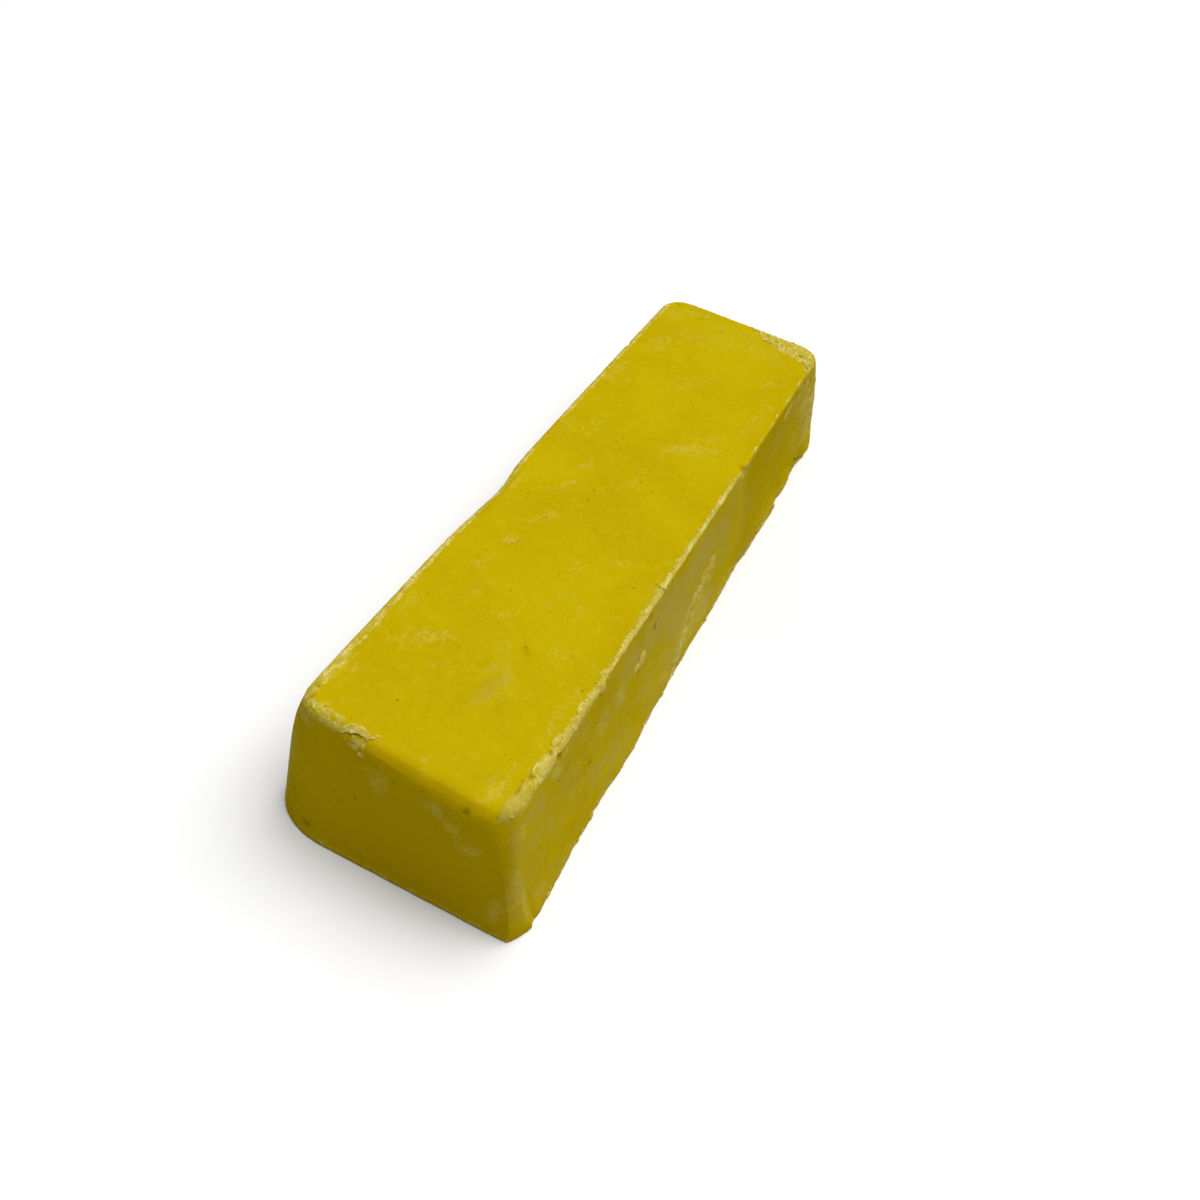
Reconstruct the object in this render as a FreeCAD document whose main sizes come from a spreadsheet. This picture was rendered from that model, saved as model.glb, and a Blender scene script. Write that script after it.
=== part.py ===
# Cast bar of wax-bound clay compound, with the loose bits of the same compound that cling to it.
#
# Frame: millimetres, +Z up, long axis along Y, the base flat on Z = 0, origin at the middle of the
# base's bounding rectangle. The short end at -Y is the "front", the long side at +X the "right".
#
# The bar is poured into an open tray and turned out: the wide face is the base, all four walls lean
# inwards towards the top (mould draft), the upright corners are rounded and the rim of the top face
# has a small radius. No two corners are quite alike, so each outline is a four-sided figure with its
# own corner positions and corner radii.

import FreeCAD
import Part
import math
import os

import Sketcher

V = FreeCAD.Vector

doc = FreeCAD.newDocument("clay_bar")

# ---------------------------------------------------------------- driving dimensions
sheet = doc.addObject("Spreadsheet::Sheet", "dims")
CELLS = [
    # overall block
    ("bar_height", 33.0),
    ("top_round", 2.2),
    # corners of the base outline, before rounding (x, y) and their radii
    ("base_fl_x", -30.8), ("base_fl_y", -102.5), ("base_fl_rad", 13.0),
    ("base_fr_x", 30.55), ("base_fr_y", -102.7), ("base_fr_rad", 4.2),
    ("base_br_x", 29.2), ("base_br_y", 102.7), ("base_br_rad", 5.0),
    ("base_bl_x", -30.8), ("base_bl_y", 102.55), ("base_bl_rad", 7.0),
    # corners of the top outline, before rounding, and their radii
    ("top_fl_x", -25.65), ("top_fl_y", -95.9), ("top_fl_rad", 5.0),
    ("top_fr_x", 23.35), ("top_fr_y", -98.1), ("top_fr_rad", 5.5),
    ("top_br_x", 24.05), ("top_br_y", 97.4), ("top_br_rad", 5.5),
    ("top_bl_x", -25.95), ("top_bl_y", 97.5), ("top_bl_rad", 7.0),
    # long shallow scoop pressed into the left top edge: a large sphere that dips 1.2 mm below the rim
    ("scoop_rad", 114.0), ("scoop_x", -105.1), ("scoop_y", -18.0), ("scoop_z", 112.1),
    # nick in the right top edge
    ("nick_rad", 2.3), ("nick_x", 24.4), ("nick_y", 27.5), ("nick_z", 33.6),
    # curled flake on the front top edge
    ("flake_half", 2.3), ("flake_depth", 1.5), ("flake_thick", 0.55), ("flake_tilt", 40.0),
    ("flake_x", -10.1), ("flake_y", -96.75), ("flake_z", 31.9),
    # shaving stuck to the right wall
    ("shav_bow", 16.0), ("shav_half", 12.0), ("shav_wide", 0.6), ("shav_thick", 0.42),
    ("shav_x", 25.95), ("shav_y", -39.5), ("shav_z", 22.4), ("shav_lean", 98.6), ("shav_roll", -12.0),
]

# Air pits left by bubbles: (name, x, y, z, radius). Each is part of a sphere whose middle stands a
# little proud of the face.
PITS = [
    ("front_edge", 14.9, -98.0, 32.3, 0.85),
    ("front_left_mid", -22.6, -100.0, 12.0, 0.85),
    ("front_left_low", -19.5, -101.85, 4.2, 0.7),
    ("front_low", -9.8, -101.85, 4.6, 0.5),
    ("right_near", 24.4, -79.2, 29.2, 0.75),
    ("right_mid", 25.3, -31.2, 25.4, 0.6),
    ("top_far_a", 10.6, 46.4, 33.1, 0.5),
    ("top_far_b", 16.3, 48.0, 33.1, 0.5),
    ("top_far_c", 5.1, 44.4, 33.1, 0.4),
]

# Loose chips and crumbs, by group. Each row: x, y, z of its middle, half size across (a), half size
# along (b), half thickness (c), turn about Z, lean about Y.
CHIPS = {
    "front_edge_crumbs": [
        (-6.9, -94.7, 33.1, 0.75, 0.5, 0.35, 20, 0),
        (-10.6, -97.2, 30.6, 0.8, 0.45, 0.5, -10, 0),
        (-8.6, -97.45, 29.7, 0.95, 0.45, 0.45, 15, 0),
    ],
    "front_corner_crust": [
        (-22.3, -94.9, 32.7, 1.5, 0.9, 0.4, 35, 0),
        (-19.6, -95.6, 32.75, 1.6, 0.8, 0.35, -8, 0),
        (-16.6, -95.3, 33.0, 1.2, 0.7, 0.3, -15, 0),
    ],
    "right_edge_flakes": [
        (22.1, -85.6, 33.0, 0.9, 2.4, 0.40, 6, 12),
        (22.2, -77.5, 33.0, 0.8, 2.2, 0.38, -4, 14),
        (22.4, -67.2, 32.95, 0.8, 2.9, 0.42, 3, 16),
        (22.5, -56.4, 32.95, 0.7, 2.1, 0.36, -5, 16),
        (22.8, -43.0, 32.9, 0.6, 2.4, 0.34, 4, 20),
        (22.9, -25.8, 32.9, 0.85, 1.7, 0.42, -10, 18),
        (23.0, -9.0, 32.85, 0.5, 1.8, 0.30, 3, 22),
        (23.2, 6.1, 32.8, 0.5, 1.6, 0.30, -4, 22),
        (23.4, 21.5, 32.8, 0.6, 1.5, 0.34, 6, 22),
    ],
    "back_corner_crust": [
        (3.6, 93.6, 32.95, 1.6, 1.0, 0.32, -12, 0),
        (7.6, 92.2, 33.0, 1.9, 1.4, 0.38, 10, 0),
        (11.9, 91.9, 33.0, 1.8, 1.6, 0.42, -20, 0),
        (16.3, 92.2, 33.0, 2.0, 1.5, 0.42, 15, 0),
        (20.1, 90.6, 32.9, 1.5, 1.8, 0.40, -10, 6),
        (21.9, 86.6, 32.9, 1.1, 1.8, 0.36, 5, 12),
    ],
    "top_face_smear": [
        (-12.3, -31.8, 33.0, 1.5, 1.0, 0.28, 35, 0),
    ],
    "base_rim_crumbs": [
        (30.35, -96.4, 0.95, 0.45, 0.9, 0.6, 0, 0),
        (30.32, -89.6, 0.85, 0.45, 1.1, 0.6, -3, 0),
        (30.25, -74.4, 0.80, 0.5, 0.9, 0.55, 5, 0),
        (30.2, -67.6, 0.90, 0.55, 1.2, 0.65, 0, 0),
        (29.95, -26.6, 0.75, 0.6, 1.0, 0.5, -5, 0),
        (29.6, 27.2, 0.95, 0.6, 1.3, 0.65, 4, 0),
        (29.4, 59.3, 0.90, 0.7, 1.2, 0.6, -4, 0),
        (29.3, 74.4, 0.95, 0.7, 1.0, 0.65, 5, 0),
        (29.2, 90.7, 1.00, 0.65, 1.1, 0.6, 0, 0),
    ],
}

for pit in PITS:
    CELLS += [("pit_%s_%s" % (pit[0], tail), value) for tail, value in zip(("x", "y", "z", "rad"), pit[1:])]
for label, rows in CHIPS.items():
    for i, row in enumerate(rows, start=1):
        CELLS += [("%s_%d_%s" % (label, i, tail), value)
                  for tail, value in zip(("x", "y", "z", "a", "b", "c"), row)]
for row, (alias, value) in enumerate(CELLS, start=1):
    sheet.set("A%d" % row, alias)
    sheet.set("B%d" % row, str(value))
    sheet.setAlias("B%d" % row, alias)
doc.recompute()


def plane_of(body, role):
    return [f for f in body.Origin.OriginFeatures if f.Role == role][0]


# ---------------------------------------------------------------- rounded four-sided outline
KEYS = ("fl", "fr", "br", "bl")
INWARD = {"fl": (1, 1), "fr": (-1, 1), "br": (-1, -1), "bl": (1, -1)}
height, rim = sheet.get("bar_height"), sheet.get("top_round")


def corner_size(key, tail, turn):
    """Expression and value of one corner coordinate or radius. turn is None on the base; otherwise
    it is how far round the top rim the outline lies, 0 where the rim leaves the wall and 90 degrees
    where it meets the top face."""
    name = "%s_%s" % (key, tail)
    if turn is None:
        return "dims.base_" + name, sheet.get("base_" + name)
    inset = 1 - math.cos(math.radians(turn))
    sign = -1 if tail == "rad" else INWARD[key][0 if tail == "x" else 1]
    text = "dims.top_{0} + (dims.base_{0} - dims.top_{0}) * dims.top_round / dims.bar_height".format(name)
    top, base = sheet.get("top_" + name), sheet.get("base_" + name)
    value = top + (base - top) * rim / height
    if turn:
        text += " %s dims.top_round * %.5f" % ("+" if sign > 0 else "-", inset)
        value += sign * rim * inset
    return text, value


def outline(body, name, turn=None):
    """A sketch of four walls and four corner arcs. The four sharp corners are construction points
    whose coordinates come from the sheet; each wall passes through two of them."""
    sk = body.newObject("Sketcher::SketchObject", name)
    sk.AttachmentSupport = [(plane_of(body, "XY_Plane"), "")]
    sk.MapMode = "FlatFace"
    if turn is not None:
        sk.setExpression("AttachmentOffset.Base.z",
                         "dims.bar_height - dims.top_round * %.5f" % (1 - math.sin(math.radians(turn))))
    size = {(k, t): corner_size(k, t, turn) for k in KEYS for t in ("x", "y", "rad")}
    pts = [V(size[k, "x"][1], size[k, "y"][1], 0) for k in KEYS]
    rad = [size[k, "rad"][1] for k in KEYS]
    dirs = [(pts[(i + 1) % 4] - pts[i]).normalize() for i in range(4)]
    # tangent points of each corner arc
    enter, leave, centre = [], [], []
    for i in range(4):
        a, b = dirs[(i - 1) % 4], dirs[i]
        half = (math.pi - math.acos(max(-1, min(1, a.dot(b))))) / 2
        t = rad[i] / math.tan(half)
        enter.append(pts[i] - a * t)
        leave.append(pts[i] + b * t)
        centre.append(enter[i] + V(-a.y, a.x, 0) * rad[i])
    lines, arcs, marks = [], [], []
    for i in range(4):
        lines.append(sk.addGeometry(Part.LineSegment(leave[i], enter[(i + 1) % 4]), False))
    for i in range(4):
        c = centre[i]
        a0 = math.atan2(enter[i].y - c.y, enter[i].x - c.x)
        a1 = math.atan2(leave[i].y - c.y, leave[i].x - c.x)
        if a1 < a0:
            a1 += 2 * math.pi
        arcs.append(sk.addGeometry(Part.ArcOfCircle(Part.Circle(c, V(0, 0, 1), rad[i]), a0, a1), False))
    for i in range(4):
        marks.append(sk.addGeometry(Part.Point(pts[i]), True))
    for i in range(4):
        # wall i-1 runs into arc i, which runs into wall i
        sk.addConstraint(Sketcher.Constraint("Tangent", lines[(i - 1) % 4], 2, arcs[i], 1))
        sk.addConstraint(Sketcher.Constraint("Tangent", arcs[i], 2, lines[i], 1))
    for i in range(4):
        sk.addConstraint(Sketcher.Constraint("PointOnObject", marks[i], 1, lines[i]))
        sk.addConstraint(Sketcher.Constraint("PointOnObject", marks[i], 1, lines[(i - 1) % 4]))
    for i, k in enumerate(KEYS):
        cx = sk.addConstraint(Sketcher.Constraint("DistanceX", -1, 1, marks[i], 1, pts[i].x))
        cy = sk.addConstraint(Sketcher.Constraint("DistanceY", -1, 1, marks[i], 1, pts[i].y))
        cr = sk.addConstraint(Sketcher.Constraint("Radius", arcs[i], rad[i]))
        for c, tail in ((cx, "x"), (cy, "y"), (cr, "rad")):
            sk.renameConstraint(c, "%s_%s" % (k, tail))
            sk.setExpression("Constraints.%s_%s" % (k, tail), size[k, tail][0])
    return sk


# ---------------------------------------------------------------- cast_bar
# The walls run straight from the base outline to the foot of the rim; the rim is a quarter round,
# lofted through five outlines that step inwards and upwards.
bar = doc.addObject("PartDesign::Body", "cast_bar")
bar.Label = "cast_bar"
base_sk = outline(bar, "base_outline")
wall_sk = outline(bar, "wall_top_outline", 0)
rim_sk = [outline(bar, "rim_outline_%d" % turn, turn) for turn in (22.5, 45, 67.5, 90)]
doc.recompute()
for sk in [base_sk, wall_sk] + rim_sk:
    if not sk.Shape.isClosed() and len(sk.Shape.Edges) != 8:
        raise RuntimeError(sk.Name + " is open")

walls = bar.newObject("PartDesign::AdditiveLoft", "walls")
walls.Profile = base_sk
walls.Sections = [wall_sk]
walls.Ruled = True
doc.recompute()
rounding = bar.newObject("PartDesign::AdditiveLoft", "top_rim")
rounding.Profile = wall_sk
rounding.Sections = rim_sk
rounding.Ruled = True
doc.recompute()
expected = bar.Shape.Volume
if not 340000 < expected < 375000 or not bar.Shape.isValid():
    raise RuntimeError("the block's volume is %.0f" % expected)


def hollow(name, kind, sizes, place, turned=None):
    """A subtractive primitive whose sizes and position come from the sheet."""
    volume = bar.Shape.Volume
    feature = bar.newObject("PartDesign::" + kind, name)
    if turned is not None:
        feature.Placement = FreeCAD.Placement(V(0, 0, 0), turned)
    for prop, expression in sizes.items():
        feature.setExpression(prop, expression)
    for axis, expression in zip("xyz", place):
        feature.setExpression("Placement.Base." + axis, expression)
    doc.recompute()
    if bar.Shape.Volume >= volume - 1e-4:
        raise RuntimeError(name + " removes nothing")
    return feature



hollow("left_edge_scoop", "SubtractiveSphere",
       {"Radius": "dims.scoop_rad"},
       ("dims.scoop_x", "dims.scoop_y", "dims.scoop_z"), FreeCAD.Rotation(V(0, 0, 1), 180))
hollow("right_edge_nick", "SubtractiveSphere",
       {"Radius": "dims.nick_rad"},
       ("dims.nick_x", "dims.nick_y", "dims.nick_z"))

# each sphere is turned so that its poles and its seam lie outside the bar
OUT = {"front": FreeCAD.Rotation(V(0, -1, 0), V(0, 0, -1), V(1, 0, 0), "XYZ"),
       "right": FreeCAD.Rotation(V(1, 0, 0), V(0, 0, -1), V(0, 1, 0), "XYZ"),
       "top": FreeCAD.Rotation(V(0, 0, 1), V(0, -1, 0), V(1, 0, 0), "XYZ")}
for pit in PITS:
    tag = "dims.pit_%s_" % pit[0]
    hollow("pit_" + pit[0], "SubtractiveSphere", {"Radius": tag + "rad"}, (tag + "x", tag + "y", tag + "z"),
           OUT[pit[0].split("_")[0]])



# ---------------------------------------------------------------- loose bits
def cut_to_bar(label, piece):
    """The bit lies on the bar, so whatever of it would be inside the bar is taken away."""
    cut = doc.addObject("Part::Cut", label + "_cut")
    cut.Base = piece
    cut.Tool = bar
    cut.Label = label
    doc.recompute()
    return cut


def crumbs(label):
    """A group of separate chips, each a low block that tapers to a smaller top."""
    chips = []
    for i, (x, y, z, a, b, c, turn, lean) in enumerate(CHIPS[label], start=1):
        tag = "%s_%d" % (label, i)
        chip = doc.addObject("Part::Wedge", tag)
        near, far = 0.45 + 0.15 * (i % 3), 0.75 - 0.1 * (i % 2)
        for prop, factor, size in (
                ("Xmin", -1, "a"), ("Xmax", 1, "a"), ("Ymin", -1, "c"), ("Ymax", 1, "c"),
                ("Zmin", -1, "b"), ("Zmax", 1, "b"), ("X2min", -near, "a"), ("X2max", far, "a"),
                ("Z2min", -far, "b"), ("Z2max", near, "b")):
            chip.setExpression(prop, "%.2f * dims.%s_%s" % (factor, tag, size))
        stand = FreeCAD.Rotation(V(1, 0, 0), 90)
        chip.Placement = FreeCAD.Placement(V(x, y, z), FreeCAD.Rotation(turn, lean, 0).multiply(stand))
        for axis in "xyz":
            chip.setExpression("Placement.Base." + axis, "dims.%s_%s" % (tag, axis))
        chips.append(chip)
    doc.recompute()
    if len(chips) == 1:
        return cut_to_bar(label, chips[0])
    group = doc.addObject("Part::MultiFuse", label + "_group")
    group.Shapes = chips
    doc.recompute()
    return cut_to_bar(label, group)


# front_edge_flake: a thin crescent that has lifted off the rounded front edge. Its outline is two
# arcs, padded to the flake's thickness, and it leans over the edge.
flake = doc.addObject("PartDesign::Body", "flake_body")
fk_sk = flake.newObject("Sketcher::SketchObject", "flake_outline")
fk_sk.AttachmentSupport = [(plane_of(flake, "XY_Plane"), "")]
fk_sk.MapMode = "FlatFace"
fh, fd = sheet.get("flake_half"), sheet.get("flake_depth")


def arc3(p, q, r):
    return Part.Arc(V(*p), V(*q), V(*r))


outer = fk_sk.addGeometry(arc3((fh, 0, 0), (0, fd, 0), (-fh, 0, 0)), False)
inner = fk_sk.addGeometry(arc3((fh, 0, 0), (0, fd * 0.12, 0), (-fh, 0, 0)), False)
tip_r, tip_l = (1, 2)
fk_sk.addConstraint(Sketcher.Constraint("Coincident", outer, tip_r, inner, tip_r))
fk_sk.addConstraint(Sketcher.Constraint("Coincident", outer, tip_l, inner, tip_l))
for end, sign, tail in ((tip_r, 1, "right"), (tip_l, -1, "left")):
    cx = fk_sk.addConstraint(Sketcher.Constraint("DistanceX", -1, 1, outer, end, sign * fh))
    cy = fk_sk.addConstraint(Sketcher.Constraint("DistanceY", -1, 1, outer, end, 0.0))
    fk_sk.renameConstraint(cx, "tip_" + tail)
    fk_sk.setExpression("Constraints.tip_" + tail, "%sdims.flake_half" % ("" if sign > 0 else "-"))
r_out = (fh * fh + fd * fd) / (2 * fd)
r_in = (fh * fh + (fd * 0.12) ** 2) / (2 * fd * 0.12)
c_out = fk_sk.addConstraint(Sketcher.Constraint("Radius", outer, r_out))
c_in = fk_sk.addConstraint(Sketcher.Constraint("Radius", inner, r_in))
fk_sk.renameConstraint(c_out, "bow_out")
fk_sk.renameConstraint(c_in, "bow_in")
fk_sk.setExpression("Constraints.bow_out",
                    "(dims.flake_half ^ 2 + dims.flake_depth ^ 2) / (2 * dims.flake_depth)")
fk_sk.setExpression("Constraints.bow_in",
                    "(dims.flake_half ^ 2 + (dims.flake_depth * 0.12) ^ 2) / (2 * dims.flake_depth * 0.12)")
doc.recompute()
pad = flake.newObject("PartDesign::Pad", "flake_pad")
pad.Profile = fk_sk
pad.setExpression("Length", "dims.flake_thick")
doc.recompute()
flake.Placement = FreeCAD.Placement(
    V(sheet.get("flake_x"), sheet.get("flake_y"), sheet.get("flake_z")),
    FreeCAD.Rotation(V(1, 0, 0), sheet.get("flake_tilt")))
flake.setExpression("Placement.Base.x", "dims.flake_x")
flake.setExpression("Placement.Base.y", "dims.flake_y")
flake.setExpression("Placement.Base.z", "dims.flake_z")
doc.recompute()
front_edge_flake = cut_to_bar("front_edge_flake", flake)

# side_face_shaving: a thin bowed shaving swept along an arc and pressed flat on the right wall.
shav = doc.addObject("PartDesign::Body", "shaving_body")
bow, spread = sheet.get("shav_bow"), sheet.get("shav_half")
path = shav.newObject("Sketcher::SketchObject", "shaving_path")
path.AttachmentSupport = [(plane_of(shav, "XY_Plane"), "")]
path.MapMode = "FlatFace"
a0, a1 = math.radians(90 - spread), math.radians(90 + spread)
p_arc = path.addGeometry(
    Part.ArcOfCircle(Part.Circle(V(0, -bow, 0), V(0, 0, 1), bow), a0, a1), False)
cr = path.addConstraint(Sketcher.Constraint("Radius", p_arc, bow))
path.renameConstraint(cr, "bow")
path.setExpression("Constraints.bow", "dims.shav_bow")
path.addConstraint(Sketcher.Constraint("PointOnObject", p_arc, 3, -2))
cy = path.addConstraint(Sketcher.Constraint("DistanceY", p_arc, 3, -1, 1, bow))
path.renameConstraint(cy, "drop")
path.setExpression("Constraints.drop", "dims.shav_bow")
path.addConstraint(Sketcher.Constraint("Symmetric", p_arc, 1, p_arc, 2, -2))
cx = path.addConstraint(Sketcher.Constraint("DistanceX", -1, 1, p_arc, 1, bow * math.sin(math.radians(spread))))
path.renameConstraint(cx, "reach")
path.setExpression("Constraints.reach", "dims.shav_bow * sin(dims.shav_half * 1 deg)")
doc.recompute()
section = shav.newObject("Sketcher::SketchObject", "shaving_section")
section.AttachmentSupport = [(plane_of(shav, "YZ_Plane"), "")]
section.MapMode = "FlatFace"
section.setExpression("AttachmentOffset.Base.z", "dims.shav_bow * sin(dims.shav_half * 1 deg)")
section.setExpression("AttachmentOffset.Base.x",
                      "-dims.shav_bow * (1 - cos(dims.shav_half * 1 deg))")
sw, st = sheet.get("shav_wide"), sheet.get("shav_thick")
corner = [V(-sw, -st, 0), V(sw, -st, 0), V(sw * 0.7, st, 0), V(-sw * 0.7, st, 0)]
sides = [section.addGeometry(Part.LineSegment(corner[i], corner[(i + 1) % 4]), False) for i in range(4)]
for i in range(4):
    section.addConstraint(Sketcher.Constraint("Coincident", sides[i], 2, sides[(i + 1) % 4], 1))
for i, (ex, ey) in enumerate((("-dims.shav_wide", "-dims.shav_thick"), ("dims.shav_wide", "-dims.shav_thick"),
                              ("dims.shav_wide * 0.7", "dims.shav_thick"),
                              ("-dims.shav_wide * 0.7", "dims.shav_thick"))):
    cx = section.addConstraint(Sketcher.Constraint("DistanceX", -1, 1, sides[i], 1, corner[i].x))
    cy = section.addConstraint(Sketcher.Constraint("DistanceY", -1, 1, sides[i], 1, corner[i].y))
    section.renameConstraint(cx, "x%d" % i)
    section.renameConstraint(cy, "y%d" % i)
    section.setExpression("Constraints.x%d" % i, ex)
    section.setExpression("Constraints.y%d" % i, ey)
doc.recompute()
sweep = shav.newObject("PartDesign::AdditivePipe", "shaving_sweep")
sweep.Profile = section
sweep.Spine = (path, ["Edge1"])
doc.recompute()
# stands on the right wall: first laid along Y, then leant with the wall
spin = FreeCAD.Rotation(V(0, 0, 1), 90 + sheet.get("shav_roll"))
lean = FreeCAD.Rotation(V(0, 1, 0), 180 - sheet.get("shav_lean"))
shav.Placement = FreeCAD.Placement(
    V(sheet.get("shav_x"), sheet.get("shav_y"), sheet.get("shav_z")), lean.multiply(spin))
shav.setExpression("Placement.Base.x", "dims.shav_x")
shav.setExpression("Placement.Base.y", "dims.shav_y")
shav.setExpression("Placement.Base.z", "dims.shav_z")
doc.recompute()
side_face_shaving = cut_to_bar("side_face_shaving", shav)

front_edge_crumbs = crumbs("front_edge_crumbs")
front_corner_crust = crumbs("front_corner_crust")
right_edge_flakes = crumbs("right_edge_flakes")
back_corner_crust = crumbs("back_corner_crust")
top_face_smear = crumbs("top_face_smear")
base_rim_crumbs = crumbs("base_rim_crumbs")

# ---------------------------------------------------------------- checks and export
NODES = [bar, front_edge_flake, front_edge_crumbs, front_corner_crust, right_edge_flakes,
         side_face_shaving, back_corner_crust, top_face_smear, base_rim_crumbs]
doc.recompute()
for obj in doc.Objects:
    bad = [s for s in obj.State if s in ("Invalid", "Error")]
    if bad:
        raise RuntimeError("%s is %s" % (obj.Name, bad))
whole = FreeCAD.BoundBox()
for node in NODES:
    shape = node.Shape
    if shape.isNull() or not shape.isValid() or not shape.Solids:
        raise RuntimeError(node.Label + " has no valid solid")
    for solid in shape.Solids:
        if not solid.isClosed() or solid.Volume <= 0:
            raise RuntimeError(node.Label + " has an open or empty solid")
    whole.add(shape.BoundBox)

os.makedirs("parts", exist_ok=True)
for node in NODES:
    node.Shape.exportStep(os.path.join("parts", node.Label + ".step"))
    print("%-20s solids %2d  volume %10.3f mm3" % (node.Label, len(node.Shape.Solids), node.Shape.Volume))
print("box x %.2f %.2f  y %.2f %.2f  z %.2f %.2f" % (
    whole.XMin, whole.XMax, whole.YMin, whole.YMax, whole.ZMin, whole.ZMax))
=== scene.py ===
"""Looks of the clay bar: a cast block of wax-bound compound with a worn, crumbling rim.

Lengths in this file are millimetres in the row frame until a mesh is written, in metres.
The bar's surface is one closed grid: base, a small base round, four drafted walls, the top rim's
round and the top face, then displaced and given masks that the materials read.
"""

import math

import bpy
import numpy as np
from mathutils import Matrix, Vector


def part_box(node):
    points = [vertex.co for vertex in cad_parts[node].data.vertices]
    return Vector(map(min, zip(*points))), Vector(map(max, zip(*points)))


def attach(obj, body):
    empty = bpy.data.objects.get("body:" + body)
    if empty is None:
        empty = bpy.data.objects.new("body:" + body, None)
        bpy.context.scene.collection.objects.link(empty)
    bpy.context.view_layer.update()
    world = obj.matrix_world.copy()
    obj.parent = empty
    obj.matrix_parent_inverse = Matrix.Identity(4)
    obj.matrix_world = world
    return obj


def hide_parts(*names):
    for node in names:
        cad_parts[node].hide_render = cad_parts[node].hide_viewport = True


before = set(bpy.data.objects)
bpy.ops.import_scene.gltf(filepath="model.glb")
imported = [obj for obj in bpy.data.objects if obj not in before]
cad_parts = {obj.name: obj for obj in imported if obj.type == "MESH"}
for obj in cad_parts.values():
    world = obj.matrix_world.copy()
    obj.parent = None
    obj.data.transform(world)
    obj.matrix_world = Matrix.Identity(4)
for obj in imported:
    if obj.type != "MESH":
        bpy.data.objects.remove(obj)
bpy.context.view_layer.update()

MM = 0.001


# ------------------------------------------------------------------ noise
_rng = np.random.default_rng(20261116)
_PERM = np.concatenate([_rng.permutation(256)] * 3).astype(np.int64)
_GRAD = _rng.normal(size=(256, 3))
_GRAD /= np.linalg.norm(_GRAD, axis=1)[:, None]
_JIT = _rng.random((256, 4))


def gnoise(p, scale, seed=0):
    """Gradient noise, about -1 to 1, with features of the given size in millimetres."""
    q = np.asarray(p, float) / scale + 13.7 * (seed + 1)
    i = np.floor(q).astype(np.int64)
    f = q - i
    w = f * f * f * (f * (f * 6 - 15) + 10)
    i &= 255
    out = np.zeros(len(q))
    for dx in (0, 1):
        wx = w[:, 0] if dx else 1 - w[:, 0]
        for dy in (0, 1):
            wy = w[:, 1] if dy else 1 - w[:, 1]
            for dz in (0, 1):
                wz = w[:, 2] if dz else 1 - w[:, 2]
                h = _PERM[_PERM[_PERM[(i[:, 0] + dx) & 255] + ((i[:, 1] + dy) & 255)] + ((i[:, 2] + dz) & 255)]
                g = _GRAD[h]
                d = f - np.array((dx, dy, dz), float)
                out += wx * wy * wz * (g * d).sum(1)
    return out * 1.6


def fbm(p, scale, octaves=4, seed=0, gain=0.5):
    total, amp, norm = np.zeros(len(p)), 1.0, 0.0
    for k in range(octaves):
        total += amp * gnoise(p, scale / 2 ** k, seed + 7 * k)
        norm += amp
        amp *= gain
    return total / norm


def cells(p, scale, seed=0):
    """Distance to the nearest and second nearest scattered point, in cell units, and that cell's random number."""
    q = np.asarray(p, float) / scale + 5.3 * (seed + 1)
    i = np.floor(q).astype(np.int64)
    f = q - i
    f1 = np.full(len(q), 9.0)
    f2 = np.full(len(q), 9.0)
    cid = np.zeros(len(q))
    for dx in (-1, 0, 1):
        for dy in (-1, 0, 1):
            for dz in (-1, 0, 1):
                h = _PERM[_PERM[_PERM[(i[:, 0] + dx) & 255] + ((i[:, 1] + dy) & 255)] + ((i[:, 2] + dz) & 255)]
                o = np.stack([dx + _JIT[h, 0], dy + _JIT[h, 1], dz + _JIT[h, 2]], 1) - f
                d = np.sqrt((o * o).sum(1))
                nearer = d < f1
                f2 = np.where(nearer, f1, np.minimum(f2, d))
                cid = np.where(nearer, _JIT[h, 3], cid)
                f1 = np.where(nearer, d, f1)
    return f1, f2, cid


def smooth(a, b, x):
    t = np.clip((x - a) / (b - a), 0, 1)
    return t * t * (3 - 2 * t)


def bump(x, centre, half):
    """1 at the centre, falling smoothly to 0 at half on either side."""
    return np.clip(1 - ((x - centre) / half) ** 2, 0, 1) ** 2


# ------------------------------------------------------------------ the bar's outlines
# The bar's own CAD box fixes everything: outlines are insets from its corners.
LOW, HIGH = (np.array(v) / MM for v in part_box("cast_bar"))
# corners in order front left, front right, back right, back left, before rounding
BASE = np.array([(LOW[0] + 0.10, LOW[1] + 0.16), (HIGH[0] + 0.10, LOW[1] + 0.20),
                 (HIGH[0] - 1.20, HIGH[1] - 0.05), (LOW[0] + 0.10, HIGH[1] - 0.16)])
# each corner: how far back along the side before it and the side after it the round starts, and how flat it is (1 is a chamfer)
BASE_ROUND = ((17.1, 16.8, -0.10), (2.3, 5.2, 0.62), (5.0, 5.0, 0.30), (7.0, 7.0, 0.17))
MID_ROUND = ((5.9, 12.4, 0.17), (2.0, 3.0, 0.30), (3.4, 3.4, 0.20), (6.4, 6.4, 0.17))
TOP = np.array([(LOW[0] + 5.29, LOW[1] + 6.73), (HIGH[0] - 7.06, LOW[1] + 4.54),
                (HIGH[0] - 6.34, HIGH[1] - 5.31), (LOW[0] + 5.01, HIGH[1] - 5.21)])
TOP_ROUND = ((4.6, 5.4, 0.17), (5.6, 5.6, 0.17), (7.4, 7.0, 0.17), (7.6, 7.6, 0.17))
TOP_Z = LOW[2] + np.array([33.25, 32.86, 32.81, 32.95])


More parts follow.
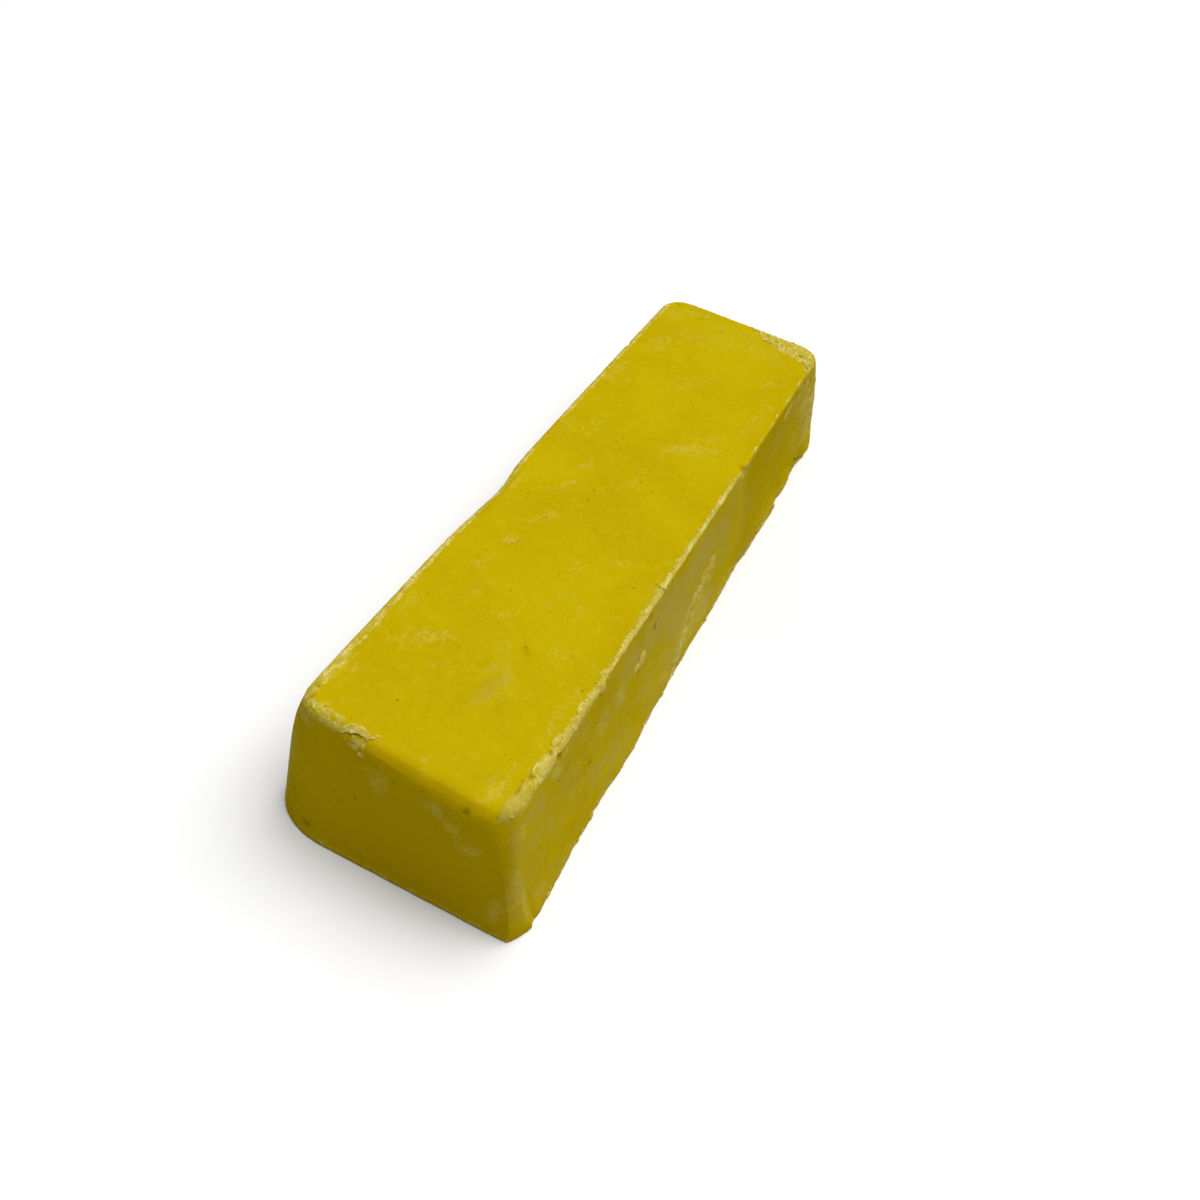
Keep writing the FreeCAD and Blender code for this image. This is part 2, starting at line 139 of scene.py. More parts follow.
def graded(n, weight):
    """n + 1 fractions from 0 to 1 whose spacing follows weight(fraction)."""
    t = np.linspace(0, 1, 4001)
    w = 1 / weight(t)
    c = np.concatenate([[0], np.cumsum((w[1:] + w[:-1]) / 2)])
    return np.interp(np.linspace(0, 1, n + 1), c / c[-1], t)


ARC = 8
FX = graded(74, lambda t: 0.42 + 1.3 * np.sin(np.pi * t) ** 0.8)
FY = graded(292, lambda t: 0.44 + 0.52 * t)


def outline(corners, rounds):
    """Samples round a rounded four-sided outline, with outward normals. Each side starts half way round a corner."""
    n = 4
    d = [corners[(i + 1) % n] - corners[i] for i in range(n)]
    d = [v / np.linalg.norm(v) for v in d]
    enter = [corners[i] - d[i - 1] * rounds[i][0] for i in range(n)]
    leave = [corners[i] + d[i] * rounds[i][1] for i in range(n)]

    def bend(i, t):
        curve = enter[i] * (1 - t) ** 2 + corners[i] * 2 * t * (1 - t) + leave[i] * t ** 2
        return curve * (1 - rounds[i][2]) + (enter[i] * (1 - t) + leave[i] * t) * rounds[i][2]

    pts = []
    for i in range(n):
        j = (i + 1) % n
        pts += [bend(i, t) for t in np.linspace(0.5, 1, ARC + 1)[:-1]]
        f = {0: FX, 1: FY, 2: 1 - FX[::-1], 3: 1 - FY[::-1]}[i]
        pts += [leave[i] * (1 - t) + enter[j] * t for t in f[:-1]]
        pts += [bend(j, t) for t in np.linspace(0, 0.5, ARC + 1)[:-1]]
    pts = np.array(pts)
    step = np.roll(pts, -1, 0) - pts
    step /= np.linalg.norm(step, axis=1)[:, None]
    tangent = step + np.roll(step, 1, 0)
    tangent /= np.linalg.norm(tangent, axis=1)[:, None]
    return pts, np.column_stack([tangent[:, 1], -tangent[:, 0]])


NX, NY = len(FX) - 1 + 2 * ARC, len(FY) - 1 + 2 * ARC
NS = 2 * (NX + NY)


def plane_z(xy):
    """Height of the top face, which isn't quite level."""
    u = np.clip((xy[:, 0] + 25.6) / 49.5, 0, 1)
    v = np.clip((xy[:, 1] + 97) / 194.5, 0, 1)
    return (TOP_Z[0] * (1 - u) + TOP_Z[1] * u) * (1 - v) + (TOP_Z[3] * (1 - u) + TOP_Z[2] * u) * v


def rim_radius(top):
    """Radius of the top rim's round, sample by sample."""
    x, y = top[:, 0], top[:, 1]
    r = np.full(len(x), 2.15)
    front = smooth(-90, -96, y)
    r = r * (1 - front) + front * (2.6 + 1.45 * smooth(-18, 10, x) - 0.35 * smooth(11, 19, x))
    left = smooth(-22, -25.2, x) * smooth(-94, -86, y) * smooth(97, 90, y)
    r = r * (1 - left) + left * 1.35
    right = smooth(20, 23.2, x) * smooth(-99, -94, y)
    worn = np.interp(y, [-95, -62, -56, 24, 30, 90], [2.7, 2.1, 1.25, 1.15, 1.3, 1.6])
    return r * (1 - right) + right * worn


def build_bar():
    base, nb = outline(BASE, BASE_ROUND)
    top, nt = outline(TOP, TOP_ROUND)
    middle, _ = outline((BASE + TOP) / 2, MID_ROUND)
    belly = middle - (base + top) / 2                 # upright corners are tighter half way up than at either end
    height = plane_z(top)
    run = ((base - top) * nt).sum(1)
    lean = np.arctan2(run, height)
    rings, ring_normals = [], []

    # base round, from the flat of the base up to the wall
    rb = 0.28 + 0.08 * np.sin(np.arange(NS) * 0.05)
    co = -rb * (1 + np.sin(lean)) / np.cos(lean)
    for k in range(4):
        phi = -math.pi / 2 + (lean + math.pi / 2) * k / 3
        xy = base + nb * (co + rb * np.cos(phi))[:, None]
        z = rb + rb * np.sin(phi)
        rings.append(np.column_stack([xy, z]))
        ring_normals.append(np.column_stack([nb * np.cos(phi)[:, None], np.sin(phi)]))
    foot = rings[-1]

    # wall
    r = rim_radius(top)
    ct = -r * (1 - np.sin(lean)) / np.cos(lean)
    head = np.column_stack([top + nt * (ct + r * np.cos(lean))[:, None], height - r + r * np.sin(lean)])
    wall = graded(45, lambda t: 0.55 + 1.0 * np.sin(np.pi * t) ** 0.9)
    for t in wall[1:-1]:
        ring = foot * (1 - t) + head * t
        ring[:, :2] += belly * (4 * t * (1 - t)) ** 0.75
        rings.append(ring)
        mix = nb * (1 - t) + nt * t
        mix /= np.linalg.norm(mix, axis=1)[:, None]
        ring_normals.append(np.column_stack([mix * np.cos(lean)[:, None], np.sin(lean)]))

    # top rim
    for k in range(9):
        phi = lean + (math.pi / 2 - lean) * k / 8
        xy = top + nt * (ct + r * np.cos(phi))[:, None]
        z = height - r + r * np.sin(phi)
        rings.append(np.column_stack([xy, z]))
        ring_normals.append(np.column_stack([nt * np.cos(phi)[:, None], np.sin(phi)]))

    verts = [np.array(rings).reshape(-1, 3)]
    normals = [np.array(ring_normals).reshape(-1, 3)]
    faces = []
    idx = np.arange(len(rings) * NS).reshape(len(rings), NS)
    nxt = np.roll(idx, -1, axis=1)
    faces.append(np.stack([idx[:-1], nxt[:-1], nxt[1:], idx[1:]], -1).reshape(-1, 4))
    count = len(rings) * NS

    def cap(ring, ring_id, up):
        """A grid across a ring: its rows run from the front side to the back side."""
        nonlocal count
        front = ring[:NX + 1]
        right = ring[NX:NX + NY + 1]
        back = ring[NX + NY:2 * NX + NY + 1][::-1]
        left = np.concatenate([ring[2 * NX + NY:], ring[:1]])[::-1]
        u = np.concatenate([[0], np.cumsum(np.linalg.norm(np.diff(front, axis=0), axis=1))])
        v = np.concatenate([[0], np.cumsum(np.linalg.norm(np.diff(right, axis=0), axis=1))])
        u, v = (u / u[-1])[None, :, None], (v / v[-1])[:, None, None]
        grid = ((1 - v) * front[None] + v * back[None] + (1 - u) * left[:, None] + u * right[:, None]
                - (1 - u) * (1 - v) * front[0] - u * (1 - v) * front[-1]
                - (1 - u) * v * back[0] - u * v * back[-1])
        ids = np.zeros((NY + 1, NX + 1), np.int64)
        ids[0], ids[:, -1] = ring_id[:NX + 1], ring_id[NX:NX + NY + 1]
        ids[-1] = ring_id[NX + NY:2 * NX + NY + 1][::-1]
        ids[:, 0] = np.concatenate([ring_id[2 * NX + NY:], ring_id[:1]])[::-1]
        inner = grid[1:-1, 1:-1].reshape(-1, 3)
        ids[1:-1, 1:-1] = count + np.arange(len(inner)).reshape(NY - 1, NX - 1)
        count += len(inner)
        verts.append(inner)
        normals.append(np.tile((0.0, 0.0, 1.0 if up else -1.0), (len(inner), 1)))
        quad = np.stack([ids[:-1, :-1], ids[:-1, 1:], ids[1:, 1:], ids[1:, :-1]], -1).reshape(-1, 4)
        faces.append(quad if up else quad[:, ::-1])

    cap(rings[-1], idx[-1], True)
    cap(rings[0], idx[0], False)
    return np.vstack(verts), np.vstack(normals), np.vstack(faces)


P, N, F = build_bar()
P0 = P.copy()
X, Y, Z = P[:, 0], P[:, 1], P[:, 2]

# ------------------------------------------------------------------ where things are on the bar
on_top = smooth(0.75, 0.97, N[:, 2])
on_base = smooth(-0.75, -0.97, N[:, 2])
on_right = smooth(0.55, 0.85, N[:, 0]) * (1 - on_top)
on_front = smooth(0.55, 0.85, -N[:, 1]) * (1 - on_top)
on_left = smooth(0.55, 0.85, -N[:, 0]) * (1 - on_top)
on_back = smooth(0.55, 0.85, N[:, 1]) * (1 - on_top)
ztop = plane_z(P[:, :2])
below = ztop - Z                                   # depth under the top face


def edge_x(y, near, far):
    return near + (far - near) * (y + 97) / 194.5


in_right = edge_x(Y, 23.47, 24.19) - X             # how far in from the right top edge
in_left = X - edge_x(Y, -25.51, -25.79)
in_front = Y - (-95.96 + (-98.15 + 95.96) * (X + 25.5) / 49.0)
in_back = 97.4 - Y
from_rim = np.minimum(np.minimum(in_right, in_left), np.minimum(in_front, in_back))


def polyline_distance(points, path):
    """Distance from each point to a path and how far along it, both in the path's own units."""
    path = np.asarray(path, float)
    best, along, run = np.full(len(points), 1e9), np.zeros(len(points)), 0.0
    for a, b in zip(path[:-1], path[1:]):
        ab = b - a
        length = np.linalg.norm(ab)
        t = np.clip(((points - a) @ ab) / length ** 2, 0, 1)
        d = np.linalg.norm(points - (a + t[:, None] * ab), axis=1)
        nearer = d < best
        best = np.where(nearer, d, best)
        along = np.where(nearer, run + t * length, along)
        run += length
    return best, along, run


# ------------------------------------------------------------------ shape of the bar
out = np.zeros(len(P))                              # displacement along the normal
flat_y = np.column_stack([Y, 0 * Y, 0 * Y])

# cast surface: long soft waves, then shallow hand-sized ripples, then a fine skin
out += 0.14 * fbm(P, 46, 2, seed=3) * (1 - on_base)
out += 0.050 * fbm(P, 11, 3, seed=11) * (1 - 0.4 * on_top)
out += (0.016 + 0.012 * (1 - on_top)) * fbm(P, 1.9, 3, seed=23)

# walls pull in a little between base and rim as the wax cools
sag = np.sin(np.clip(Z / 33, 0, 1) * np.pi) ** 1.2
out -= on_right * sag * 0.62 * smooth(-99, -55, Y) * smooth(100, 60, Y)
out -= on_left * sag * 0.35 * smooth(-99, -60, Y) * smooth(100, 60, Y)
out -= (on_front + on_back) * sag * 0.22 * smooth(30, 12, np.abs(X))
# the struck-off base sinks a little in the middle and keeps shallow pour ripples and bubbles
base_in = smooth(0, 16, np.minimum(30 - np.abs(X), 101 - np.abs(Y)))
ripple = np.sin(0.42 * (np.hypot(X + 6, 0.55 * (Y - 18)) + 2.2 * fbm(P, 24, 2, seed=29)))
out -= on_base * base_in * (0.50 + 0.14 * fbm(P, 22, 3, seed=31) + 0.030 * ripple)
out += on_base * base_in * 0.05 * fbm(P, 3.1, 3, seed=37)
b1, b2, bid = cells(P, 7.5, seed=13)
out += on_base * base_in * np.where(bid > 0.72, 0.42 * smooth(0.16, 0.05, b1), 0)

# the dent in the left top edge and the slight swell before it
edge_left = smooth(4.5, 0.6, in_left) * smooth(7.5, 1.0, below)
dent = np.interp(Y, [-45, -37, -33, -26, -18, -13, -9.5, -7.2, -3, 1], [0, 0.1, 0.3, 0.75, 1.25, 1.05, 0.6, 0.30, 0.06, 0])
swell = -0.36 + 0.24 * smooth(-10, 25, Y)
shift = edge_left * (swell - dent)
P[:, 0] -= shift * 0.8
P[:, 2] += shift * np.where(swell - dent > 0, 0.1, 0.55) * smooth(3.5, 0.5, in_left)

# the right top rim: a raised, dry, crumbling ridge from the front to y = 26, and a nick where it stops
wander = 0.9 * fbm(flat_y, 5.0, 3, seed=41) + 0.5 * fbm(P, 1.5, 2, seed=43)
lip_w = np.interp(Y, [-99, -94, -87, -80, -75, -60, -52, -36, -21, 5, 20, 27],
                  [2.7, 2.8, 2.2, 1.9, 1.45, 1.25, 1.35, 1.6, 1.6, 1.25, 1.1, 0.8])
lip_d = np.interp(Y, [-99, -88, -70, -61, -60.2, -58.4, -57.6, -20, 27], [2.0, 1.7, 1.45, 1.3, 2.3, 2.2, 0.62, 0.60, 0.50])
lip_in = smooth(0.22, -0.12, in_right - lip_w * (1 + 0.26 * wander))
lip_down = smooth(0.40, -0.22, below - lip_d - 0.40 * wander)
lip_run = smooth(27.5, 25.5, Y + 0.8 * wander) * smooth(-99.2, -97.2, Y - 0.4 * wander)
lip = lip_in * lip_down * lip_run
f1, f2, cid = cells(P * (1, 0.6, 1), 1.05, seed=2)
crag = f2 - f1
chip = np.where(cid > 0.60, smooth(0.60, 0.15, f1), 0) * (0.5 + 0.5 * cid)
ridge = np.exp(-((in_right - 0.52 * lip_w) / (0.46 * lip_w)) ** 2) * lip_run * smooth(lip_d + 0.9, 0.4, below)
out += ridge * (0.20 + 0.14 * fbm(P, 3.4, 2, seed=53))
calm = 1 - 0.75 * smooth(-84, -92, Y)
out += lip * calm * (0.05 * fbm(P, 1.7, 3, seed=47) - 0.13 * chip + 0.05 * smooth(0.05, 0.45, crag))
groove = np.exp(-((in_right - lip_w * (1 + 0.26 * wander) - 0.22) / 0.22) ** 2) * lip_run * on_top
out -= 0.04 * groove
tooth = bump(Y, -59.3, 1.6) * smooth(3.2, 1.6, below) * smooth(-0.8, 0.4, below) * smooth(2.5, 0.0, in_right)
out += 0.42 * tooth
under = on_right * np.exp(-((below - lip_d - 0.9) / 0.8) ** 2) * lip_run * smooth(-62, -57, Y)
out -= 0.10 * under
nick = bump(Y, 27.4, 2.2) * smooth(2.8, 0.4, in_right) * smooth(2.6, 0.6, below)
out -= 1.15 * nick

# beyond the nick the right rim is whole, with a faint sharp bead along it
bead = np.exp(-((in_right - 0.45) / 0.45) ** 2) * smooth(27.5, 30, Y) * smooth(82, 78, Y) * smooth(1.4, 0.5, below)
out += 0.07 * bead * (0.7 + 0.6 * fbm(P, 2.0, 2, seed=57))

# front top edge: a chipped stretch near the left, faint mould lines further on
front_rim = smooth(2.9, 1.9, in_front) * smooth(2.6, 1.5, below)
chipped = smooth(-25.6, -23.6, X) * smooth(-13.0, -15.5, X + 0.8 * wander) * front_rim * smooth(-0.6, 0.1, in_front + 0.6 * wander)
g1, g2, gid = cells(P * (0.6, 1, 1), 1.15, seed=5)
out += chipped * (0.06 + 0.09 * fbm(P, 2.4, 3, seed=59) - 0.04 * np.where(gid > 0.6, smooth(0.6, 0.2, g1), 0))
mould = smooth(-10, -4, X) * smooth(22, 15, X) * smooth(0.15, 0.45, -N[:, 1]) * (1 - on_base)
for depth in (0.9, 1.5, 2.2):
    out -= 0.085 * mould * np.exp(-((below - depth - 0.02 * (X - 5)) / 0.24) ** 2)

# left top edge: a narrow worn line, wider near the front
left_w = np.interp(Y, [-97, -90, -80, -60, -30, 40, 90], [2.6, 2.8, 2.4, 2.0, 1.7, 1.5, 1.8]) * (1 + 0.30 * wander)
left_wear = smooth(0.30, -0.25, in_left - left_w) * smooth(2.2, 1.4, below) * smooth(-98, -94, Y) * smooth(97, 92, Y)
patchy = smooth(-0.45, 0.05, fbm(flat_y + (0, 0, 9), 13, 3, seed=61) + 0.3 * smooth(-40, -80, Y))
left_wear *= 0.35 + 0.65 * patchy
e1, e2, eid = cells(P * (1, 0.6, 1), 1.3, seed=17)
out += left_wear * (0.02 + 0.09 * fbm(P, 1.9, 3, seed=67) + 0.05 * np.where(eid > 0.7, smooth(0.5, 0.1, e1), 0))

# back right corner: a granular crust left on the top edge
crust_path = [(1.5, 96.0), (6.0, 95.2), (9.5, 93.6), (12.5, 92.6), (16.5, 92.4), (20.0, 91.2), (22.6, 88.0), (23.2, 84.5)]
cd, ca, cl = polyline_distance(P[:, :2], crust_path)
crust_w = np.interp(ca, [0, 4, 8, 12, 16, 20, 25, 29], [0.5, 1.2, 2.6, 3.8, 3.7, 3.2, 1.8, 0.5])
crust = smooth(0.5, -0.5, cd - crust_w * (1 + 0.34 * fbm(P, 2.4, 3, seed=71))) * smooth(3.0, 1.6, below) * smooth(0.15, 0.5, N[:, 2])
h1, h2, hid = cells(P, 0.85, seed=8)
out += crust * (0.05 + 0.26 * smooth(0.75, 0.1, h1) * (0.35 + hid) + 0.08 * fbm(P, 2.0, 2, seed=73))

leaning = (P0 @ np.array([[0, 0, 0], [0, 0.33, 0.71], [0, -0.33, 0.71]]).T)   # noise space for streaks that run down the wall
leaning[:, 0] = 0.6 * P0[:, 0]
wall_mottle = fbm(leaning, 2.6, 4, seed=193, gain=0.62)
wall_patch = fbm(leaning, 6.5, 3, seed=197)
back_rim = smooth(2.4, 1.2, in_back) * smooth(2.4, 1.2, below) * smooth(14, 2, X)
out -= 0.45 * bump(Y, 63.4, 2.0) * smooth(2.5, 0.5, in_left) * smooth(3.0, 0.8, below)   # a small notch in the left edge
out += back_rim * (0.16 * fbm(P, 2.6, 3, seed=209) - 0.16 * np.where(hid > 0.72, smooth(0.7, 0.2, h1), 0))

# right wall: a cold lap, a crease where two pours met, running down towards the base
lap_path = [(9.4, 20.4), (8.7, 17.5), (7.4, 14.9), (2.0, 14.2), (-4.1, 13.1), (-8.5, 8.3), (-14.9, 3.6), (-19.0, 0.8)]
yz = np.column_stack([Y, Z])
ld, la, ll = polyline_distance(yz + 0.6 * np.column_stack([fbm(P, 4, 2, seed=79), fbm(P, 4, 2, seed=83)]), lap_path)
lap_band = on_right * smooth(4.6, 2.2, ld) * smooth(-0.5, 2.5, la)
l1, l2, lid = cells(P, 0.95, seed=19)
lap = lap_band * np.clip(0.30 + 0.60 * np.where(lid > 0.30, smooth(0.62, 0.2, l1), 0) + 1.1 * fbm(leaning, 1.5, 3, seed=215) + 0.2 * smooth(1.2, 0.3, ld), 0, 1)
out += on_right * np.exp(-(ld / 0.8) ** 2) * smooth(-0.5, 2.5, la) * 0.10
out += lap_band * (0.16 * np.where(lid > 0.35, smooth(0.6, 0.15, l1), 0) + 0.06 * fbm(P, 1.6, 3, seed=89))
out -= 0.12 * on_right * np.exp(-((ld - 2.2) / 1.2) ** 2)

# the foot of the right wall: torn and toothed where the flash broke from the mould
foot_y = [-103, -99, -97.5, -96.9, -96.2, -93, -90, -85, -80, -77, -74, -71, -68, -65, -61, -57, -55, -51, -45, -42, -38, -25, -20, -15, -9, 0, 5,
          12, 20, 27, 31, 36, 45, 52, 57, 59.0, 62, 65, 68, 73, 76, 82, 86, 90, 95, 98, 103]
foot_x = [0.10, 0.35, 0.62, 0.50, 0.05, 0.40, 0.35, 0.20, 0.05, -0.20, -0.15, -0.05, -0.10, -0.30, -0.25, -0.05, 0.30, 0.15, 0.40, 0.10, -0.18, -0.22,
          -0.45, -0.35, -0.45, -0.35, -0.20, -0.20, -0.32, -0.60, -0.35, 0.05, 0.25, 0.50, 0.75, 0.60, 0.05, -0.15, 0.35, 0.35,
          -0.15, -0.45, -0.20, 0.55, 0.70, 0.35, 0.1]
foot_edge = BASE[1, 0] + (BASE[2, 0] - BASE[1, 0]) * (Y - BASE[1, 1]) / (BASE[2, 1] - BASE[1, 1]) - X
foot = smooth(7.0, 0.3, foot_edge) * smooth(-0.2, 0.45, np.where(on_base > 0.3, 1, N[:, 0]))
teeth = fbm(np.column_stack([Y, Z * 0.8, 0 * Y + 4]), 2.1, 2, seed=101)
P[:, 0] += foot * smooth(7.5, 0.8, Z) * (np.interp(Y, foot_y, foot_x) + 0.20 + 0.25 * bump(Y, -94.5, 2.0))
P[:, 0] += foot * smooth(1.8, 0.3, Z) * 0.24 * teeth
rough_corner = np.exp(-(((P[:, 0] - 25.5) / 5) ** 2 + ((P[:, 1] - 94.0) / 15) ** 4)) * smooth(32, 29, Z) * (1 - on_base)
m1, m2, mid_id = cells(P, 1.4, seed=23)
out += rough_corner * (0.14 * np.where(mid_id > 0.4, smooth(0.6, 0.15, m1), 0) + 0.06 * fbm(P, 2.4, 2, seed=104))
soft = (on_left + on_back + on_front * 0.4) * smooth(3.4, 0.2, Z) * (1 - on_base)
out += soft * (0.12 * fbm(P, 7, 3, seed=103))
# the front wall flares a little at its foot, with a thin bead of flash along it
front_foot = smooth(0.3, -0.2, N[:, 0] - 0.6) * smooth(-0.15, -0.5, np.where(on_base > 0.3, -1, N[:, 1])) * smooth(4, 0.5, Y - BASE[0, 1])
P[:, 1] -= 0.20 * front_foot * smooth(5.0, 0.4, Z) * smooth(-28, -18, X)
P[:, 1] -= 0.20 * front_foot * smooth(1.5, 0.7, Z) * smooth(-24, -14, X) * smooth(30, 24, X)
flash = on_front * np.exp(-((Z - 0.7) / 0.35) ** 2) * smooth(-22, -14, X) * smooth(28, 24, X)
out += 0.10 * flash * smooth(-0.4, 0.2, fbm(P, 6, 2, seed=105))
# the two upright right hand corners are softened by handling
out -= 0.14 * smooth(0.35, 0.65, N[:, 0]) * smooth(0.35, 0.65, -N[:, 1]) * (0.4 + 0.6 * fbm(P, 5, 2, seed=107))

# air pits: x, y, z, radius, depth
PITS = [
    (14.9, -98.1, 31.4, 0.80, 0.50), (21.0, -97.9, 32.4, 0.65, 0.35), (-24.3, -99.0, 8.8, 0.50, 0.30),
    (-19.5, -101.7, 2.9, 0.85, 0.50), (-10.0, -101.9, 3.7, 0.55, 0.3), (-25.8, -97.6, 9.8, 0.45, 0.25),
    (22.2, -86.2, 32.9, 0.65, 0.18), (22.5, -80.8, 32.9, 0.60, 0.16), (24.3, -79.2, 31.0, 1.0, 0.50),
    (24.2, -77.4, 30.2, 0.7, 0.35), (27.4, -66.1, 15.7, 0.7, 0.35), (25.4, -31.2, 25.6, 0.75, 0.4),
    (24.9, -33.0, 29.2, 0.60, 0.30), (25.6, -79.7, 24.5, 0.5, 0.2), (26.5, -58.0, 20.5, 0.6, 0.25),
    (5.7, -97.8, 30.2, 0.5, 0.25), (27.2, -72.3, 16.9, 0.55, 0.25), (27.2, -90.0, 16.0, 0.6, 0.25),
    (26.2, 24.0, 22.0, 0.6, 0.25), (26.6, 58.0, 14.0, 0.7, 0.3), (-27.4, -60.0, 18.0, 0.7, 0.35),
    (-26.8, 10.0, 24.0, 0.8, 0.35), (-28.9, 44.0, 9.0, 0.7, 0.3), (5.0, 100.6, 14.0, 0.8, 0.4),
    (-12.0, 99.6, 22.0, 0.6, 0.3), (-3.0, 101.8, 6.0, 0.7, 0.35), (23.3, 84.2, 32.2, 0.7, 0.35),
    (-28.2, -86.0, 14.0, 0.8, 0.4), (-29.3, -20.0, 6.0, 0.7, 0.3), (-27.0, 76.0, 20.0, 0.6, 0.3),
]
pit_mask = np.zeros(len(P))
for px, py, pz, pr, pd in PITS:
    px, py, pz = P0[((P0 - (px, py, pz)) ** 2).sum(1).argmin()]
    d = np.sqrt(((P0 - (px, py, pz)) ** 2).sum(1))
    near = d < pr * 2.5
    w = smooth(pr * 1.15, pr * 0.35, d[near] * (1 + 0.25 * gnoise(P0[near], 0.8, seed=113)))
    out[near] -= pd * w
    pit_mask[near] = np.maximum(pit_mask[near], w)

# under the loose flake the skin is torn away
flake_low, flake_high = (np.array(v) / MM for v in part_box("front_edge_flake"))
fx, fy, fz = (flake_low + flake_high) / 2
torn_front = np.exp(-(((P0[:, 0] - fx) / 2.4) ** 2 + ((P0[:, 1] - fy + 0.6) / 1.1) ** 2 + ((P0[:, 2] - fz + 0.4) / 1.3) ** 2))
out -= 0.28 * torn_front * (0.7 + 0.6 * fbm(P, 1.5, 2, seed=127))

P = P + N * out[:, None]
# the front face is fuller under its rim, most of all towards the right
full = np.interp(P0[:, 0], [-24, -19, -13, -6, 1, 8, 12, 16.5, 20, 23.5], [0.0, 0.1, 0.45, 1.2, 1.6, 1.7, 2.0, 1.9, 1.2, 0.4])
P[:, 1] -= full * smooth(-86, -97, P0[:, 1]) * smooth(5, 27, P0[:, 2])
P[:, 2] = np.maximum(P[:, 2], 0.0)

# ------------------------------------------------------------------ masks for the materials
# bloom: pale wax bloom and rubbed dust, and painted light from the floor in a thin line along the front foot.  tan:
# greyer, duller dust.  dry: crumbly pale compound.
# rich: a saturated orange; it is painted shade on the front face, its rim, the left face, under the right lip and in
# the nick, and it also marks the tooth and patches low on the right wall.  dark: dirt, with painted shade in pits, in
# the groove inside the right lip and in a line under the right rim beyond the nick.  The material's own noise breaks
# them up.
warp2 = 0.9 * np.column_stack([fbm(P0, 5, 2, seed=131), fbm(P0, 5, 2, seed=137)])


def spots(rows, where, axes):
    """Elongated soft patches: (u, v, half length, half width, angle of the long axis, strength)."""
    total = np.zeros(len(P0))
    q = P0[:, axes] + warp2
    for u, v, a, b, turn, strength in rows:
        t = math.radians(turn)
        d = q - (u, v)
        x, y = d[:, 0] * math.cos(t) + d[:, 1] * math.sin(t), -d[:, 0] * math.sin(t) + d[:, 1] * math.cos(t)
        total = np.maximum(total, strength * np.exp(-((x / a) ** 2 + (y / b) ** 2) ** 1.5))
    return total * where


def blob(centre, radii, strength=1.0):
    d = (P0 + np.column_stack([warp2, warp2[:, :1]]) * 0.6 - centre) / radii
    return strength * np.exp(-((d * d).sum(1)) ** 1.5)


top_bloom = spots([
    (-24.0, -93.0, 7.0, 1.6, 85, 0.9), (-23.0, -85.5, 7.0, 1.6, 84, 0.75), (-20.6, -83.0, 3.6, 1.8, 40, 0.6),
    (-18.8, -92.6, 4.5, 1.6, 60, 0.45), (17.5, -92.0, 5.5, 2.4, 75, 0.75), (12.6, -70.6, 3.2, 2.0, 20, 0.4),
    (-13.1, -68.4, 7.5, 3.0, 40, 0.75), (-20.9, -61.7, 4.5, 2.0, 85, 0.6), (-6.6, -73.3, 3.2, 1.8, 50, 0.5),
    (-14.5, -42.2, 3.8, 1.6, 60, 0.55), (-12.3, -31.9, 2.6, 1.5, 35, 0.8), (-10.9, -21.0, 6.5, 1.5, 72, 0.7),
    (-11.4, -6.9, 6.0, 1.4, 70, 0.65), (-10.8, 3.2, 5.0, 1.4, 72, 0.6), (3.9, -31.3, 4.4, 1.8, 110, 0.5),
    (11.4, -24.0, 4.6, 2.0, 40, 0.55), (10.7, -43.6, 3.4, 1.8, 80, 0.45), (-21.8, -12.3, 5.0, 1.6, 78, 0.75),
    (13.0, -57.0, 4.6, 2.4, 60, 0.5), (9.0, 25.9, 9.0, 3.2, 35, 0.8), (12.9, 34.2, 5.0, 2.4, 30, 0.65),
    (17.9, 70.3, 5.0, 1.6, 30, 0.7), (-13.5, 92.7, 5.5, 2.0, 10, 0.7), (-22.5, 46.8, 9.0, 1.8, 88, 0.65),
    (-17.2, 70.9, 10.0, 3.4, 75, 0.6), (-6.7, 80.0, 14.0, 8.0, 20, 0.5), (8.0, 84.0, 9.0, 5.0, 10, 0.55),
    (5.4, -42.8, 7.0, 2.0, 70, 0.4), (-2.0, 55.0, 12.0, 5.0, 60, 0.4), (20.0, -70.0, 16.0, 1.6, 88, 0.55),
    (20.8, -28.0, 14.0, 1.3, 88, 0.4), (19.5, 50.0, 16.0, 2.6, 86, 0.5), (2.0, -94.0, 8.0, 1.8, 8, 0.35),
    (-16.0, 20.0, 10.0, 3.0, 70, 0.45), (2.0, 5.0, 9.0, 3.0, 66, 0.40), (-3.0, -55.0, 7.0, 2.4, 60, 0.35),
], on_top, [0, 1])
top_tan = spots([
    (5.4, -73.0, 7.0, 2.4, 78, 0.55), (3.3, -67.5, 4.0, 2.6, 40, 0.45), (1.5, -62.0, 3.6, 2.0, 110, 0.35),
    (-12.3, -50.0, 5.0, 2.4, 100, 0.25), (-9.0, -95.2, 5.0, 1.0, 4, 0.3), (15.0, 82.0, 4.0, 2.0, 70, 0.45),
    (-20.0, 88.0, 5.0, 3.0, 60, 0.4), (0.0, 90.0, 12.0, 2.0, 2, 0.35), (-22.0, 15.0, 10.0, 1.5, 88, 0.35),
], on_top, [0, 1])
scratch = spots([(6.0, -59.4, 2.6, 0.42, 128, 0.80), (5.2, -75.2, 2.6, 0.40, 96, 0.40), (7.2, -72.0, 2.4, 0.40, 80, 0.34),
                 (-1.0, -48.0, 1.6, 0.25, 60, 0.25)], on_top, [0, 1])
